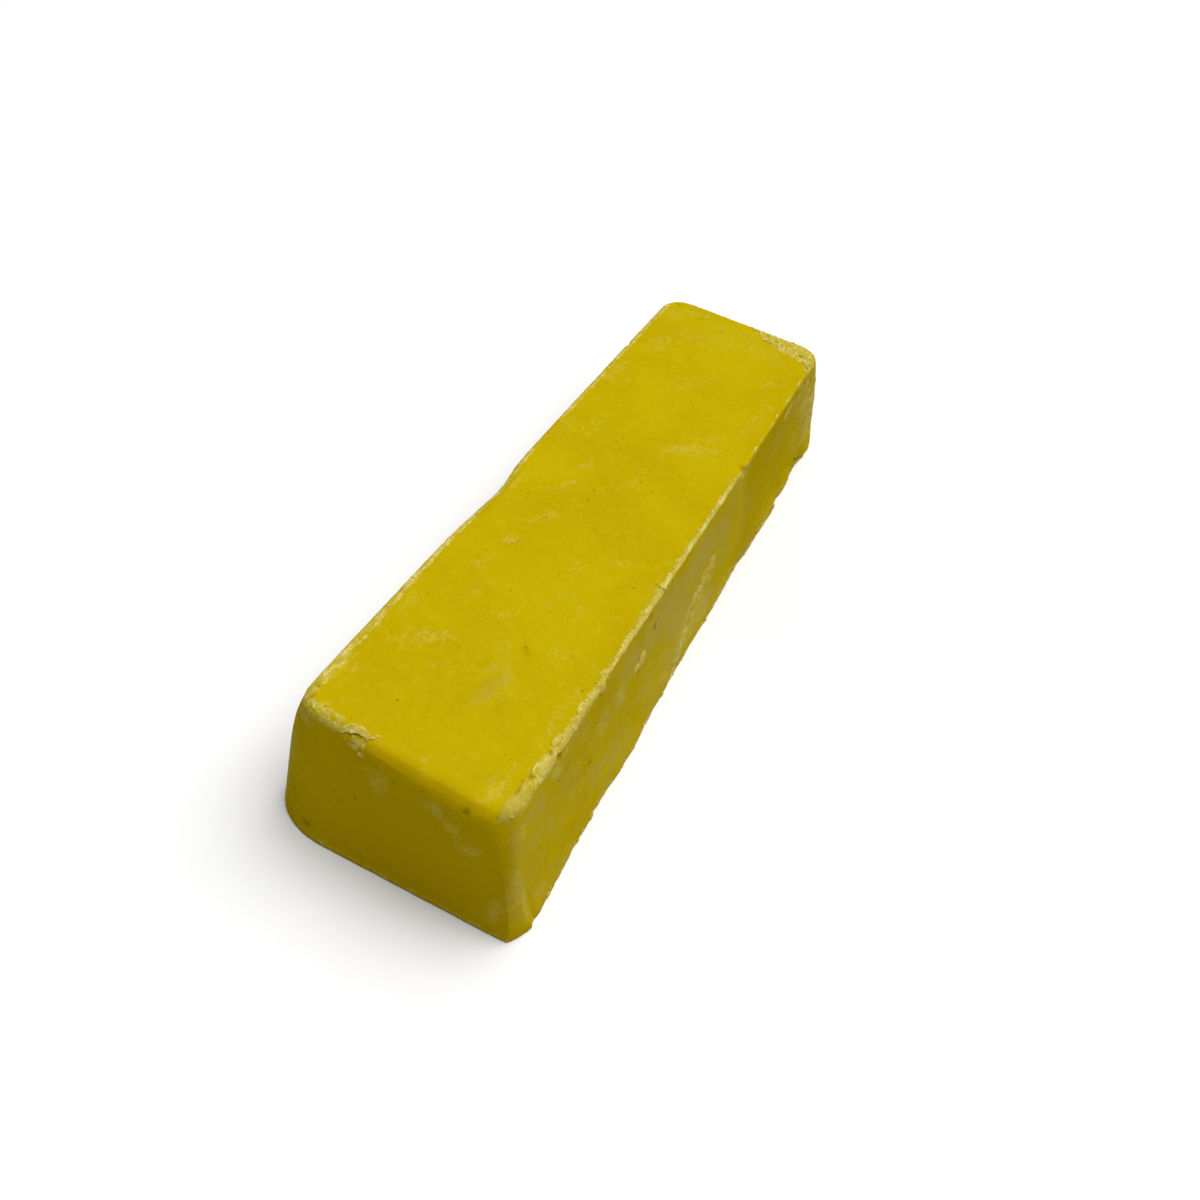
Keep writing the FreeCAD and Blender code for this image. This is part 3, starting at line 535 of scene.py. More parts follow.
right_tan = spots([
    (-96.5, 26.0, 4.0, 3.0, 110, 0.7), (-97.8, 12.0, 9.0, 1.8, 95, 0.9), (-91.0, 5.0, 5.0, 3.0, 130, 0.6),
    (-88.5, 26.5, 5.0, 2.6, 150, 0.8), (-80.0, 28.0, 4.0, 2.2, 150, 0.8), (-66.5, 26.4, 5.0, 2.6, 140, 0.6),
    (-57.8, 21.0, 5.0, 3.0, 120, 0.8), (-50.0, 20.4, 6.0, 3.4, 130, 0.8),
    (-43.0, 25.0, 10.0, 5.0, 160, 0.85), (-34.6, 9.2, 7.0, 4.4, 135, 0.6), (-24.5, 24.0, 18.0, 7.0, 178, 1.0),
    (-14.0, 15.0, 14.0, 7.0, 160, 1.0), (-1.6, 24.2, 15.0, 7.0, 178, 0.95), (14.0, 22.5, 10.0, 6.0, 150, 0.8),
    (36.0, 17.5, 12.0, 5.0, 140, 0.45), (61.9, 23.0, 14.0, 6.0, 160, 0.5),
    (86.0, 22.0, 8.0, 8.0, 80, 0.95), (92.0, 12.0, 7.0, 9.0, 95, 0.95), (-17.0, 6.0, 12.0, 4.6, 170, 0.85),
    (2.0, 7.0, 10.0, 5.5, 170, 1.0), (76.0, 26.0, 9.0, 4.0, 175, 0.8), (30.0, 3.0, 30.0, 1.8, 0, 0.6),
    (-45.0, 2.6, 16.0, 1.6, 0, 0.45),
], on_right, [1, 2])
right_bloom = spots([
    (-98.0, 9.0, 7.0, 1.6, 92, 0.85), (-95.0, 26.0, 4.0, 2.2, 110, 0.6), (-88.0, 19.5, 3.4, 1.8, 135, 0.5),
    (-80.5, 28.0, 3.0, 1.6, 150, 0.9), (-76.5, 29.6, 2.4, 1.2, 160, 0.9), (-69.0, 25.0, 4.0, 1.9, 135, 0.6),
    (-72.0, 20.0, 2.6, 1.8, 135, 0.6), (-60.0, 20.0, 4.6, 2.2, 125, 0.7), (-50.0, 20.8, 5.0, 2.4, 135, 0.8),
    (-66.0, 13.0, 3.2, 1.6, 130, 0.4), (-3.0, 9.0, 9.0, 3.6, 170, 0.8),
    (-24.0, 4.5, 8.0, 2.4, 170, 0.7), (-4.0, 5.5, 14.0, 5.0, 168, 0.9), (85.0, 22.0, 6.0, 6.0, 60, 1.0), (91.0, 10.0, 5.0, 8.0, 95, 0.9),
    (78.0, 28.5, 8.0, 2.0, 178, 0.9), (60.0, 28.5, 12.0, 1.2, 178, 0.4), (20.0, 3.0, 14.0, 1.8, 0, 0.6),
    (60.0, 2.5, 20.0, 1.6, 0, 0.6), (-38.0, 8.0, 4.0, 2.2, 135, 0.45), (79.0, 12.0, 5.0, 4.4, 135, 0.7),
], on_right, [1, 2])
# pale bloom patches on the front face; the thin line along its foot is painted light from the floor
front_bloom = spots([
    (-3.9, 25.6, 3.8, 2.8, 80, 0.95), (-6.0, 27.6, 2.8, 2.0, 30, 0.75), (8.6, 27.6, 4.4, 2.4, -14, 0.95),
    (12.8, 25.2, 3.2, 2.3, -14, 0.85), (17.4, 21.3, 3.2, 2.3, -8, 0.95), (14.6, 21.9, 1.9, 1.2, 0, 0.55),
    (24.2, 6.4, 4.4, 2.2, 85, 1.0), (21.2, 3.2, 3.4, 1.3, 30, 0.6), (3.2, 25.5, 3.0, 1.0, 0, 0.35),
    (-15.6, 1.6, 7.0, 1.2, 0, 0.45), (-21.4, 6.0, 4.5, 2.6, 30, 0.35), (-9.4, 20.5, 2.0, 3.5, 0, 0.25),
    (20.2, 13.5, 2.0, 4.0, 0, 0.3), (-21.0, 17.0, 6.0, 8.0, 80, 0.42), (6.0, 1.0, 18.0, 0.7, 0, 0.4),
], on_front, [0, 2])
left_corner = np.maximum(blob((-24.5, -97.0, 29.6), (4.4, 3.2, 1.5)), blob((-28.5, -97.0, 22.0), (2.0, 5.0, 9.0), 0.5))
corner = blob((27.0, -99.5, 15.0), (2.4, 3.4, 15.0), 0.8)
back_corner = blob((25.5, 97.5, 15.0), (4.0, 8.0, 14.0), 1.0)
elsewhere = (on_left + on_back) * np.clip(0.45 + 0.75 * fbm(P0, 17, 3, seed=139), 0, 0.9)
under_dust = on_base * np.clip(0.5 + 0.8 * fbm(P0, 13, 4, seed=151), 0, 1)
wall_haze = on_right * np.clip(0.40 + 0.55 * wall_patch + 0.55 * wall_mottle, 0, 0.9) * smooth(60, 30, Y)
wall_haze = np.maximum(wall_haze, on_right * np.clip(0.22 + 0.5 * wall_patch + 0.5 * wall_mottle, 0, 0.8))
bloom = np.maximum.reduce([0.80 * top_bloom, 0.8 * chipped, right_bloom, 0.82 * front_bloom, 0.8 * corner, 0.8 * back_corner, 0.5 * elsewhere,
                           0.6 * left_corner, 0.6 * under_dust])
tan = np.maximum.reduce([top_tan, right_tan, wall_haze, left_corner, 0.7 * corner, 0.8 * back_corner, elsewhere, under_dust])

near_end = smooth(-84, -93, Y)
lip_fade = smooth(1.10, 0.35, in_right / (lip_w * (1 + 0.26 * wander)) + 0.55 * fbm(P0 * (1, 0.6, 1), 1.3, 2, seed=203))
lip_dry = lip * (0.35 + 0.65 * lip_fade) * (0.70 + 0.30 * fbm(P0, 2.6, 2, seed=163) + 0.34 * fbm(P0 * (1, 0.45, 1), 0.9, 2, seed=167)) * (1 - 0.80 * near_end)
dry = np.maximum.reduce([
    lip_dry,
    0.6 * np.exp(-((in_back - 0.5) / 0.9) ** 2) * smooth(2.5, 1.2, below) * smooth(-2, 5, X) * smooth(-0.4, 0.1, fbm(P0, 3.0, 2, seed=213)),
    crust * (0.45 + 0.44 * np.where(hid > 0.45, smooth(0.6, 0.2, h1), -0.10) + 0.4 * fbm(P0, 2.2, 2, seed=205)),
    0.58 * left_wear * (0.75 + 0.5 * fbm(P0 * (0.5, 1, 1), 1.4, 2, seed=165)),
    lap,
    chipped * np.clip(0.30 + 0.45 * fbm(P0, 2.4, 2, seed=173), 0, 0.6),
    0.75 * torn_front,
    0.60 * foot * smooth(2.6, 0.5, Z) * (1 - on_base) * smooth(-0.25, 0.35, teeth + 0.2 * smooth(-30, 10, Y)),
    0.25 * flash,
    0.50 * bead * smooth(-0.3, 0.3, fbm(P0, 4, 2, seed=175)),
    0.85 * back_corner * smooth(-0.15, 0.25, fbm(P0, 2.2, 3, seed=177)),
    0.90 * rough_corner * on_right * smooth(-0.05, 0.35, fbm(leaning, 1.7, 3, seed=185)),
    spots([(66.6, 29.3, 3.4, 1.3, 10, 1.0)], on_right, [1, 2]),
    0.55 * on_right * smooth(70, 78, Y) * smooth(4.0, 1.5, below) * smooth(0.5, 1.4, below),
    0.55 * on_back * smooth(3.0, 1.0, below) * smooth(-0.1, 0.3, fbm(P0, 3, 3, seed=178)),
    0.50 * smooth(2.6, 1.2, in_back) * smooth(2.2, 1.2, below) * smooth(-0.2, 0.25, fbm(P0, 2.6, 3, seed=178)),
])
# painted light from the floor: a pale line along the front foot, over the flash bead
bloom = np.maximum(bloom, 0.7 * front_foot * smooth(1.6, 0.8, Z) * (1 - on_base) * smooth(-24, -14, X) * smooth(-0.5, 0.1, fbm(P0, 9, 2, seed=183)))
bloom = np.maximum(bloom, lip * (0.6 - 0.1 * near_end))
tan = np.maximum.reduce([tan, lip * near_end * 0.95, 1.0 * chipped, 0.5 * left_wear])
bloom = np.maximum.reduce([bloom, 0.75 * left_wear, 0.85 * crust])
# painted shade: a saturated orange band under the right lip, and in the nick
under_lip = on_right * np.exp(-((below - lip_d - 1.1) / 0.9) ** 2) * smooth(-90, -80, Y) * smooth(30, 20, Y)
rich = np.maximum(under_lip * smooth(0.0, 0.40, fbm(P0 * (1, 0.5, 1), 4.0, 2, seed=179)), 0.9 * nick)
rich = np.maximum(rich, on_right * smooth(0.05, 0.35, fbm(leaning, 5, 3, seed=181)) * smooth(26, 12, Z) * smooth(10, -40, Y) * 0.8)
top_stain = spots([(4.0, -73.6, 5.6, 2.4, 72, 0.75), (8.6, -75.6, 2.6, 1.6, 90, 0.55), (0.2, -68.0, 2.4, 1.4, 60, 0.40),
                   (6.2, -60.0, 3.0, 1.1, 128, 0.55), (14.6, -91.0, 3.0, 1.0, 20, 0.45)], on_top, [0, 1])
# stains from handling on the top and in the crust, and painted shade: the whole right wall a little darker, most from y
# 26 to 95, a band under the right rim beyond the nick, and thin lines along the mould grooves of the front rim
stain = np.maximum.reduce([
    top_stain * (0.75 + 0.5 * fbm(P0, 3.0, 3, seed=221)),
    on_right * (0.30 + 0.45 * smooth(26, 36, Y) * smooth(95, 86, Y) + 0.35 * np.clip(wall_mottle, -0.5, 1)),
    0.9 * on_right * smooth(28, 32, Y) * smooth(88, 82, Y) * np.exp(-((below - 1.9) / 0.8) ** 2),
    1.0 * mould * np.exp(-((np.abs(below - 1.2) - 0.55) / 0.32) ** 2) * smooth(-0.5, 0.3, fbm(P0, 6, 2, seed=201)),
    0.5 * crust * smooth(0.00, -0.35, fbm(P0, 1.6, 2, seed=199)),
])
# painted shade: the front face, its rim and the left face take the saturated orange they show in shade; the tooth takes
# it too
rich = np.maximum.reduce([rich, 0.8 * tooth, 0.95 * smooth(0.15, 0.50, -N[:, 1]) * smooth(-20, -8, X), 0.9 * on_front, 0.5 * on_left])
dirt_line = spots([(21.6, -91.4, 1.6, 0.40, 88, 0.55), (21.9, -87.0, 1.2, 0.55, 85, 0.85),
                   (22.7, -80.6, 0.9, 0.5, 85, 0.65), (21.4, -97.6, 0.8, 0.6, 0, 0.6)], on_top + lip, [0, 1])
# dark marks: dirt, scratches and specks, with painted shade in the pits and in the two lines marked below
dark = np.maximum.reduce([
    pit_mask * 0.70, scratch, 0.8 * dirt_line,
    0.8 * blob((-25.0, -6.9, 32.2), (1.0, 1.6, 1.3)),
    0.7 * back_rim * smooth(0.02, 0.30, fbm(P0, 2.8, 3, seed=211)),
    0.50 * lip * calm * np.where(cid < 0.14, smooth(0.55, 0.2, f1), 0),
    0.85 * left_wear * np.where(gid < 0.12, smooth(0.5, 0.2, g1), 0),
    0.6 * np.exp(-((cd - crust_w * 1.12) / 0.35) ** 2) * smooth(2, 4, ca) * smooth(27, 23, ca) * (in_back > 3) * smooth(-0.2, 0.3, fbm(P0, 2.6, 2, seed=207)),
    # painted shade: a thin dark line just under the right rim beyond the nick, and a trace in the groove inside the lip
    0.45 * on_right * smooth(0.9, 0.2, np.abs(in_right - 0.1)) * smooth(28, 31, Y) * smooth(0.5, 1.3, below) * smooth(2.4, 1.5, below),
    0.08 * groove,
    0.60 * blob((-21.7, 93.1, 32.9), (1.6, 0.8, 1.0)), 0.60 * blob((-13.1, 90.0, 32.9), (1.4, 0.9, 1.0)), 0.45 * blob((-12.0, 93.8, 32.9), (2.0, 0.8, 1.0)),
    0.60 * blob((2.8, 94.6, 32.9), (1.2, 0.8, 1.0)), 0.75 * blob((24.6, 81.7, 31.0), (0.8, 2.2, 1.2)),
    0.75 * blob((-23.0, -93.2, 33.0), (0.8, 1.5, 1.0)), 0.75 * blob((-24.0, -90.2, 33.0), (0.7, 1.3, 1.0)),
    0.85 * blob((25.5, -30.7, 25.5), (0.9, 1.1, 1.7)), 0.70 * blob((24.3, -33.6, 31.0), (0.9, 1.6, 1.0)), 0.50 * blob((24.4, -41.1, 30.4), (0.8, 1.6, 1.0)),
    0.75 * blob((24.3, -78.3, 30.6), (0.9, 2.0, 1.1)), 0.50 * blob((25.6, -79.6, 24.8), (0.9, 1.6, 0.9)),
    0.65 * blob((27.5, -65.7, 15.6), (0.9, 1.3, 1.2)), 0.45 * blob((27.2, -72.2, 16.9), (0.9, 1.2, 0.9)),
    0.65 * blob((-23.8, -52.3, 33.0), (0.7, 1.2, 0.8)), 0.65 * blob((-23.9, -59.3, 33.0), (0.7, 1.2, 0.8)),
])


def make_mesh(name, verts, faces, layers):
    mesh = bpy.data.meshes.new(name)
    verts = np.asarray(verts, float) * MM
    n = faces.shape[1]
    mesh.vertices.add(len(verts))
    mesh.vertices.foreach_set("co", verts.astype(np.float32).ravel())
    mesh.loops.add(faces.size)
    mesh.loops.foreach_set("vertex_index", faces.astype(np.int32).ravel())
    mesh.polygons.add(len(faces))
    mesh.polygons.foreach_set("loop_start", (np.arange(len(faces)) * n).astype(np.int32))
    mesh.polygons.foreach_set("loop_total", np.full(len(faces), n, np.int32))
    mesh.update(calc_edges=True)
    mesh.validate()
    mesh.polygons.foreach_set("use_smooth", np.ones(len(mesh.polygons), bool))
    for layer, values in layers.items():
        attribute = mesh.attributes.new(layer, "FLOAT", "POINT")
        attribute.data.foreach_set("value", np.clip(values, 0, 1).astype(np.float32))
    obj = bpy.data.objects.new(name, mesh)
    bpy.context.scene.collection.objects.link(obj)
    return obj


LAYERS = {"bloom": bloom, "tan": tan, "dry": dry, "rich": rich, "dark": dark, "stain": stain}
bar = make_mesh("bar_body", P, F, LAYERS)
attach(bar, "root")
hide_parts("cast_bar")


# ------------------------------------------------------------------ materials
class Nodes:
    def __init__(self, material):
        material.use_nodes = True
        self.tree = material.node_tree
        self.tree.nodes.clear()

    def add(self, kind, **inputs):
        node = self.tree.nodes.new(kind)
        for key, value in inputs.items():
            if key.startswith("_"):
                setattr(node, key[1:], value)
        for key, value in inputs.items():
            if not key.startswith("_"):
                self.feed(node, key.replace("__", " "), value)
        return node

    def feed(self, node, key, value):
        socket = node.inputs[int(key[1:])] if key[0] == "i" and key[1:].isdigit() else node.inputs[key]
        if isinstance(value, bpy.types.NodeSocket):
            self.tree.links.new(value, socket)
        elif isinstance(value, tuple) and len(value) == 3 and socket.type == "RGBA":
            socket.default_value = (*value, 1.0)
        else:
            socket.default_value = value

    def math(self, operation, a, b=0.0, clamp=False):
        node = self.add("ShaderNodeMath", _operation=operation, _use_clamp=clamp, i0=a, i1=b)
        return node.outputs[0]

    def noise(self, vector, scale, detail=3.0, rough=0.55, distortion=0.0):
        node = self.add("ShaderNodeTexNoise", Vector=vector, Scale=scale, Detail=detail, Roughness=rough,
                        Distortion=distortion)
        return node.outputs["Fac"]

    def ramp(self, value, a, b, low=0.0, high=1.0):
        node = self.add("ShaderNodeMapRange", _interpolation_type="SMOOTHSTEP", Value=value)
        for key, v in (("From Min", a), ("From Max", b), ("To Min", low), ("To Max", high)):
            node.inputs[key].default_value = v
        return node.outputs[0]

    def mix(self, factor, a, b, blend="MIX"):
        node = self.add("ShaderNodeMix", _data_type="RGBA", _blend_type=blend)
        self.feed(node, "i0", factor)
        self.feed(node, "i6", a)
        self.feed(node, "i7", b)
        return node.outputs[2]

    def layer(self, name):
        return self.add("ShaderNodeAttribute", _attribute_name=name).outputs["Fac"]

    def stretched(self, vector, scale, turn=(0, 0, 0)):
        node = self.add("ShaderNodeMapping", Vector=vector)
        node.inputs["Scale"].default_value = scale
        node.inputs["Rotation"].default_value = turn
        return node.outputs[0]


YELLOW = (0.400, 0.299, 0.0008)
YELLOW_DEEP = (0.374, 0.268, 0.0004)
YELLOW_LIGHT = (0.425, 0.325, 0.006)
# pale bloom, also used as painted light along the front foot
BLOOM_AND_LIGHT = (0.455, 0.362, 0.044)
TAN = (0.372, 0.296, 0.046)
DRY = (0.430, 0.345, 0.052)
DRY_PALE = (0.580, 0.500, 0.160)
# saturated orange, used mostly as painted shade
RICH_AND_SHADE = (0.400, 0.276, 0.0002)
# dark brown for dirt, also used as painted shade in pits and under the right rim
DIRT_AND_SHADE = (0.215, 0.120, 0.003)


def compound(name, dry_all=0.0, crumb=1.0):
    """Wax-bound compound. dry_all lifts the dry, crumbly look everywhere."""
    material = bpy.data.materials.new(name)
    n = Nodes(material)
    where = n.add("ShaderNodeTexCoord").outputs["Object"]
    bloom_in, dry_in, tan_in = n.layer("bloom"), n.layer("dry"), n.layer("tan")
    rich_in, dark_in, stain_in = n.layer("rich"), n.layer("dark"), n.layer("stain")

    # noises, coarse to fine; scales are per metre
    cloud = n.noise(where, 42.0, 4.0, 0.6, 0.4)
    mottle = n.noise(where, 420.0, 4.0, 0.62, 0.5)
    fleck = n.noise(where, 1250.0, 3.0, 0.62, 0.3)
    grain = n.noise(where, 2900.0, 2.0, 0.6)
    rubbed = n.noise(n.stretched(where, (1.0, 0.30, 1.0), (0, 0, 0.15)), 900.0, 3.0, 0.6, 0.4)

    # saturated body colour, drifting a little between yellows
    body = n.mix(n.ramp(cloud, 0.36, 0.66), YELLOW_DEEP, YELLOW)
    body = n.mix(n.math("MULTIPLY", n.ramp(mottle, 0.46, 0.72), 0.45), body, YELLOW_LIGHT)
    body = n.mix(n.math("MULTIPLY", n.ramp(fleck, 0.50, 0.30), 0.30), body, YELLOW_DEEP)
    # painted shade: the saturated orange on the front face, its rim, the left face, under the right lip and in the nick
    body = n.mix(n.math("MULTIPLY", rich_in, 0.90), body, RICH_AND_SHADE)

    # broken: about 0.5, with flecks and rubbed streaks in it
    broken = n.math("ADD", n.math("MULTIPLY", fleck, 0.52), n.math("MULTIPLY", rubbed, 0.20))
    broken = n.math("ADD", broken, n.math("MULTIPLY", mottle, 0.28))

    # tan dust, soft edged
    tan_fac = n.ramp(n.math("ADD", n.math("MULTIPLY", tan_in, 0.34), broken), 0.50, 0.80)
    tan_fac = n.math("MULTIPLY", tan_fac, n.math("ADD", n.math("MULTIPLY", tan_in, 0.85), 0.03), clamp=True)
    col = n.mix(tan_fac, body, TAN)

    # bloom, in flecks that close up where it is thick, and painted light along the front foot
    bloom_fac = n.ramp(n.math("ADD", n.math("MULTIPLY", bloom_in, 0.22), broken), 0.555, 0.70)
    bloom_fac = n.math("MULTIPLY", bloom_fac, n.math("ADD", n.math("MULTIPLY", bloom_in, 0.62), 0.14), clamp=True)
    col = n.mix(bloom_fac, col, BLOOM_AND_LIGHT)

    # dry, crumbly compound
    lifted = n.math("ADD", n.math("MULTIPLY", n.math("SUBTRACT", fleck, 0.5), 0.9), n.math("MULTIPLY", n.math("SUBTRACT", rubbed, 0.5), 0.9))
    dry_fac = n.ramp(n.math("ADD", n.math("ADD", dry_in, dry_all), lifted), 0.22, 0.66)
    dry_col = n.mix(n.ramp(n.math("ADD", n.math("MULTIPLY", rubbed, 0.55), n.math("MULTIPLY", fleck, 0.45)), 0.47, 0.66), DRY, DRY_PALE)
    col = n.mix(dry_fac, col, dry_col)

    # dirt in pits and scratches, with painted shade in the pits, in the groove inside the right lip and in a line under
    # the right rim beyond the nick
    dirt_and_shade_fac = n.ramp(n.math("ADD", dark_in, n.math("MULTIPLY", n.math("SUBTRACT", fleck, 0.5), 0.7)), 0.22, 0.95)
    col = n.mix(n.math("MULTIPLY", dirt_and_shade_fac, 0.72), col, DIRT_AND_SHADE)

    # handling stains, and painted shade on the right wall, under its rim beyond the nick and along the mould grooves:
    # the same colours, a little deeper
    col = n.mix(n.math("MULTIPLY", stain_in, n.math("ADD", n.math("MULTIPLY", fleck, 0.5), 0.22)), col, (0.62, 0.58, 0.35), "MULTIPLY")

    # pinholes: scattered, two sizes, coloured dark brown as painted shade in the holes
    def pinholes(scale, low, high, keep):
        holes = n.add("ShaderNodeTexVoronoi", _voronoi_dimensions="3D", _feature="F1", Vector=where, Scale=scale)
        pick = n.add("ShaderNodeSeparateColor", Color=holes.outputs["Color"])
        reach = n.math("MULTIPLY", holes.outputs["Distance"], n.math("ADD", n.math("MULTIPLY", pick.outputs[1], 1.2), 0.7))
        return n.math("MULTIPLY", n.ramp(reach, high, low), n.ramp(pick.outputs[0], keep, keep + 0.04))
    hole = n.math("MAXIMUM", pinholes(230.0, 0.045, 0.090, 0.66), pinholes(520.0, 0.06, 0.13, 0.78))
    col = n.mix(n.math("MULTIPLY", hole, 0.55), col, (0.17, 0.115, 0.002))

    # relief
    height = n.math("MULTIPLY", fleck, 0.45)
    height = n.math("ADD", height, n.math("MULTIPLY", grain, n.math("ADD", n.math("MULTIPLY", dry_fac, 0.70), 0.16)))
    height = n.math("ADD", height, n.math("MULTIPLY", mottle, 0.80))
    height = n.math("ADD", height, n.math("MULTIPLY", bloom_fac, 0.30))
    height = n.math("SUBTRACT", height, n.math("MULTIPLY", hole, 1.4))
    relief = n.add("ShaderNodeBump", Height=height)
    relief.inputs["Strength"].default_value = 0.50 * crumb
    relief.inputs["Distance"].default_value = 0.00020

    rough = n.math("ADD", 0.44, n.math("MULTIPLY", mottle, 0.16))
    rough = n.math("ADD", rough, n.math("MULTIPLY", bloom_fac, 0.14))
    rough = n.math("ADD", rough, n.math("MULTIPLY", tan_fac, 0.10))
    rough = n.math("ADD", rough, n.math("MULTIPLY", dry_fac, 0.22), clamp=True)

    shader = n.add("ShaderNodeBsdfPrincipled", Roughness=rough, Normal=relief.outputs[0])
    n.feed(shader, "Base Color", col)
    shader.inputs["Specular IOR Level"].default_value = 0.0      # dry wax: no gloss, even at a grazing angle
    shader.inputs["Subsurface Weight"].default_value = 0.10
    shader.inputs["Subsurface Radius"].default_value = (1.0, 0.6, 0.10)
    shader.inputs["Subsurface Scale"].default_value = 0.0009
    output = n.add("ShaderNodeOutputMaterial")
    n.tree.links.new(shader.outputs[0], output.inputs[0])
    return material


bar.data.materials.append(compound("cast_compound"))
dry_material = compound("dry_compound", crumb=0.9)


# ------------------------------------------------------------------ loose bits
# Every CAD solid of these nodes gets one detailed piece at its own place, and finer crumbs lie round them.
def surface_point(p):
    """Nearest point of the finished bar surface to p, with its outward normal."""
    d = ((P - p) ** 2).sum(1)
    i = int(d.argmin())
    return P[i], N[i]


def solids(node):
    """Centre, long axis and half extents of each separate solid of a CAD node, in millimetres."""
    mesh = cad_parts[node].data
    co = np.array([v.co[:] for v in mesh.vertices]) / MM
    keys, owner = {}, np.zeros(len(co), int)
    for i, v in enumerate(np.round(co, 3)):
        owner[i] = keys.setdefault(tuple(v), len(keys))
    parent = list(range(len(keys)))

    def root(i):
        while parent[i] != i:
            parent[i] = parent[parent[i]]
            i = parent[i]
        return i
    for polygon in mesh.polygons:
        ids = [owner[v] for v in polygon.vertices]
        for k in ids[1:]:
            parent[root(k)] = root(ids[0])
    sets = {}
    for i in range(len(co)):
        sets.setdefault(root(owner[i]), []).append(co[i])
    found = []
    for points in sets.values():
        points = np.array(points)
        middle = (points.min(0) + points.max(0)) / 2
        spread = points - points.mean(0)
        axes = np.linalg.eigh(spread.T @ spread)[1][:, ::-1]
        reach = np.abs((points - middle) @ axes).max(0)
        found.append((middle, axes[:, 0], reach))
    return sorted(found, key=lambda s: tuple(np.round(s[0], 2)))


def icosphere(level):
    t = (1 + 5 ** 0.5) / 2
    v = [(-1, t, 0), (1, t, 0), (-1, -t, 0), (1, -t, 0), (0, -1, t), (0, 1, t), (0, -1, -t), (0, 1, -t),
         (t, 0, -1), (t, 0, 1), (-t, 0, -1), (-t, 0, 1)]
    f = [(0, 11, 5), (0, 5, 1), (0, 1, 7), (0, 7, 10), (0, 10, 11), (1, 5, 9), (5, 11, 4), (11, 10, 2), (10, 7, 6),
         (7, 1, 8), (3, 9, 4), (3, 4, 2), (3, 2, 6), (3, 6, 8), (3, 8, 9), (4, 9, 5), (2, 4, 11), (6, 2, 10),
         (8, 6, 7), (9, 8, 1)]
    v = [np.array(a, float) / np.linalg.norm(a) for a in v]
    for _ in range(level):
        seen, g = {}, []

        def mid(a, b):
            key = (min(a, b), max(a, b))
            if key not in seen:
                m = v[a] + v[b]
                v.append(m / np.linalg.norm(m))
                seen[key] = len(v) - 1
            return seen[key]
        for a, b, c in f:
            ab, bc, ca = mid(a, b), mid(b, c), mid(c, a)
            g += [(a, ab, ca), (b, bc, ab), (c, ca, bc), (ab, bc, ca)]
        f = g
    return np.array(v), np.array(f)


BALLS = {2: icosphere(2), 3: icosphere(3)}


def crumb_at(p, size, along, seed, tone, sink=0.45):
    """One crumb: a lumpy, faceted pebble laid on the bar. size is (half length, half width, half height)."""
    q, nrm = surface_point(np.array(p, float))
    nrm = nrm / np.linalg.norm(nrm)
    a = np.array(along, float)
    a -= nrm * (a @ nrm)
    a /= np.linalg.norm(a)
    b = np.cross(nrm, a)
    v, f = BALLS[3 if size[0] > 0.5 else 2]
    r = np.random.default_rng(seed)
    for _ in range(9):
        d = r.normal(size=3)
        d /= np.linalg.norm(d)
        over = np.maximum(v @ d - r.uniform(0.55, 0.88), 0)
        v = v - over[:, None] * d * 0.92
    k = v * np.array(size)
    k = k * (1 + 0.22 * fbm(k + seed * 3.1, max(size) * 0.7, 3, seed=seed % 50))[:, None]
    return q + k[:, :1] * a + k[:, 1:2] * b + (k[:, 2:3] + size[2] * (1 - 2 * sink)) * nrm, f, tone


def group(name, lumps, node):
    verts, faces, tones, count = [], [], [], 0
    for v, f, tone in lumps:
        verts.append(v), faces.append(f + count), tones.append(np.full(len(v), tone))
        count += len(v)
    verts, faces, tones = np.vstack(verts), np.vstack(faces), np.concatenate(tones)
    verts[:, 2] = np.maximum(verts[:, 2], 0.01)
    dry_tone = tones + 0.30 * fbm(verts, 1.4, 2, seed=191)
    obj = make_mesh(name, verts, faces, {"bloom": 0.35 + 0 * tones, "tan": 0.35 * (1 - tones), "dry": dry_tone,
                                         "rich": 0 * tones, "dark": np.clip(-1.3 * tones - 0.15, 0, 1), "stain": 0 * tones})
    obj.data.materials.append(dry_material)
    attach(obj, "root")
    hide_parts(node)
    return obj


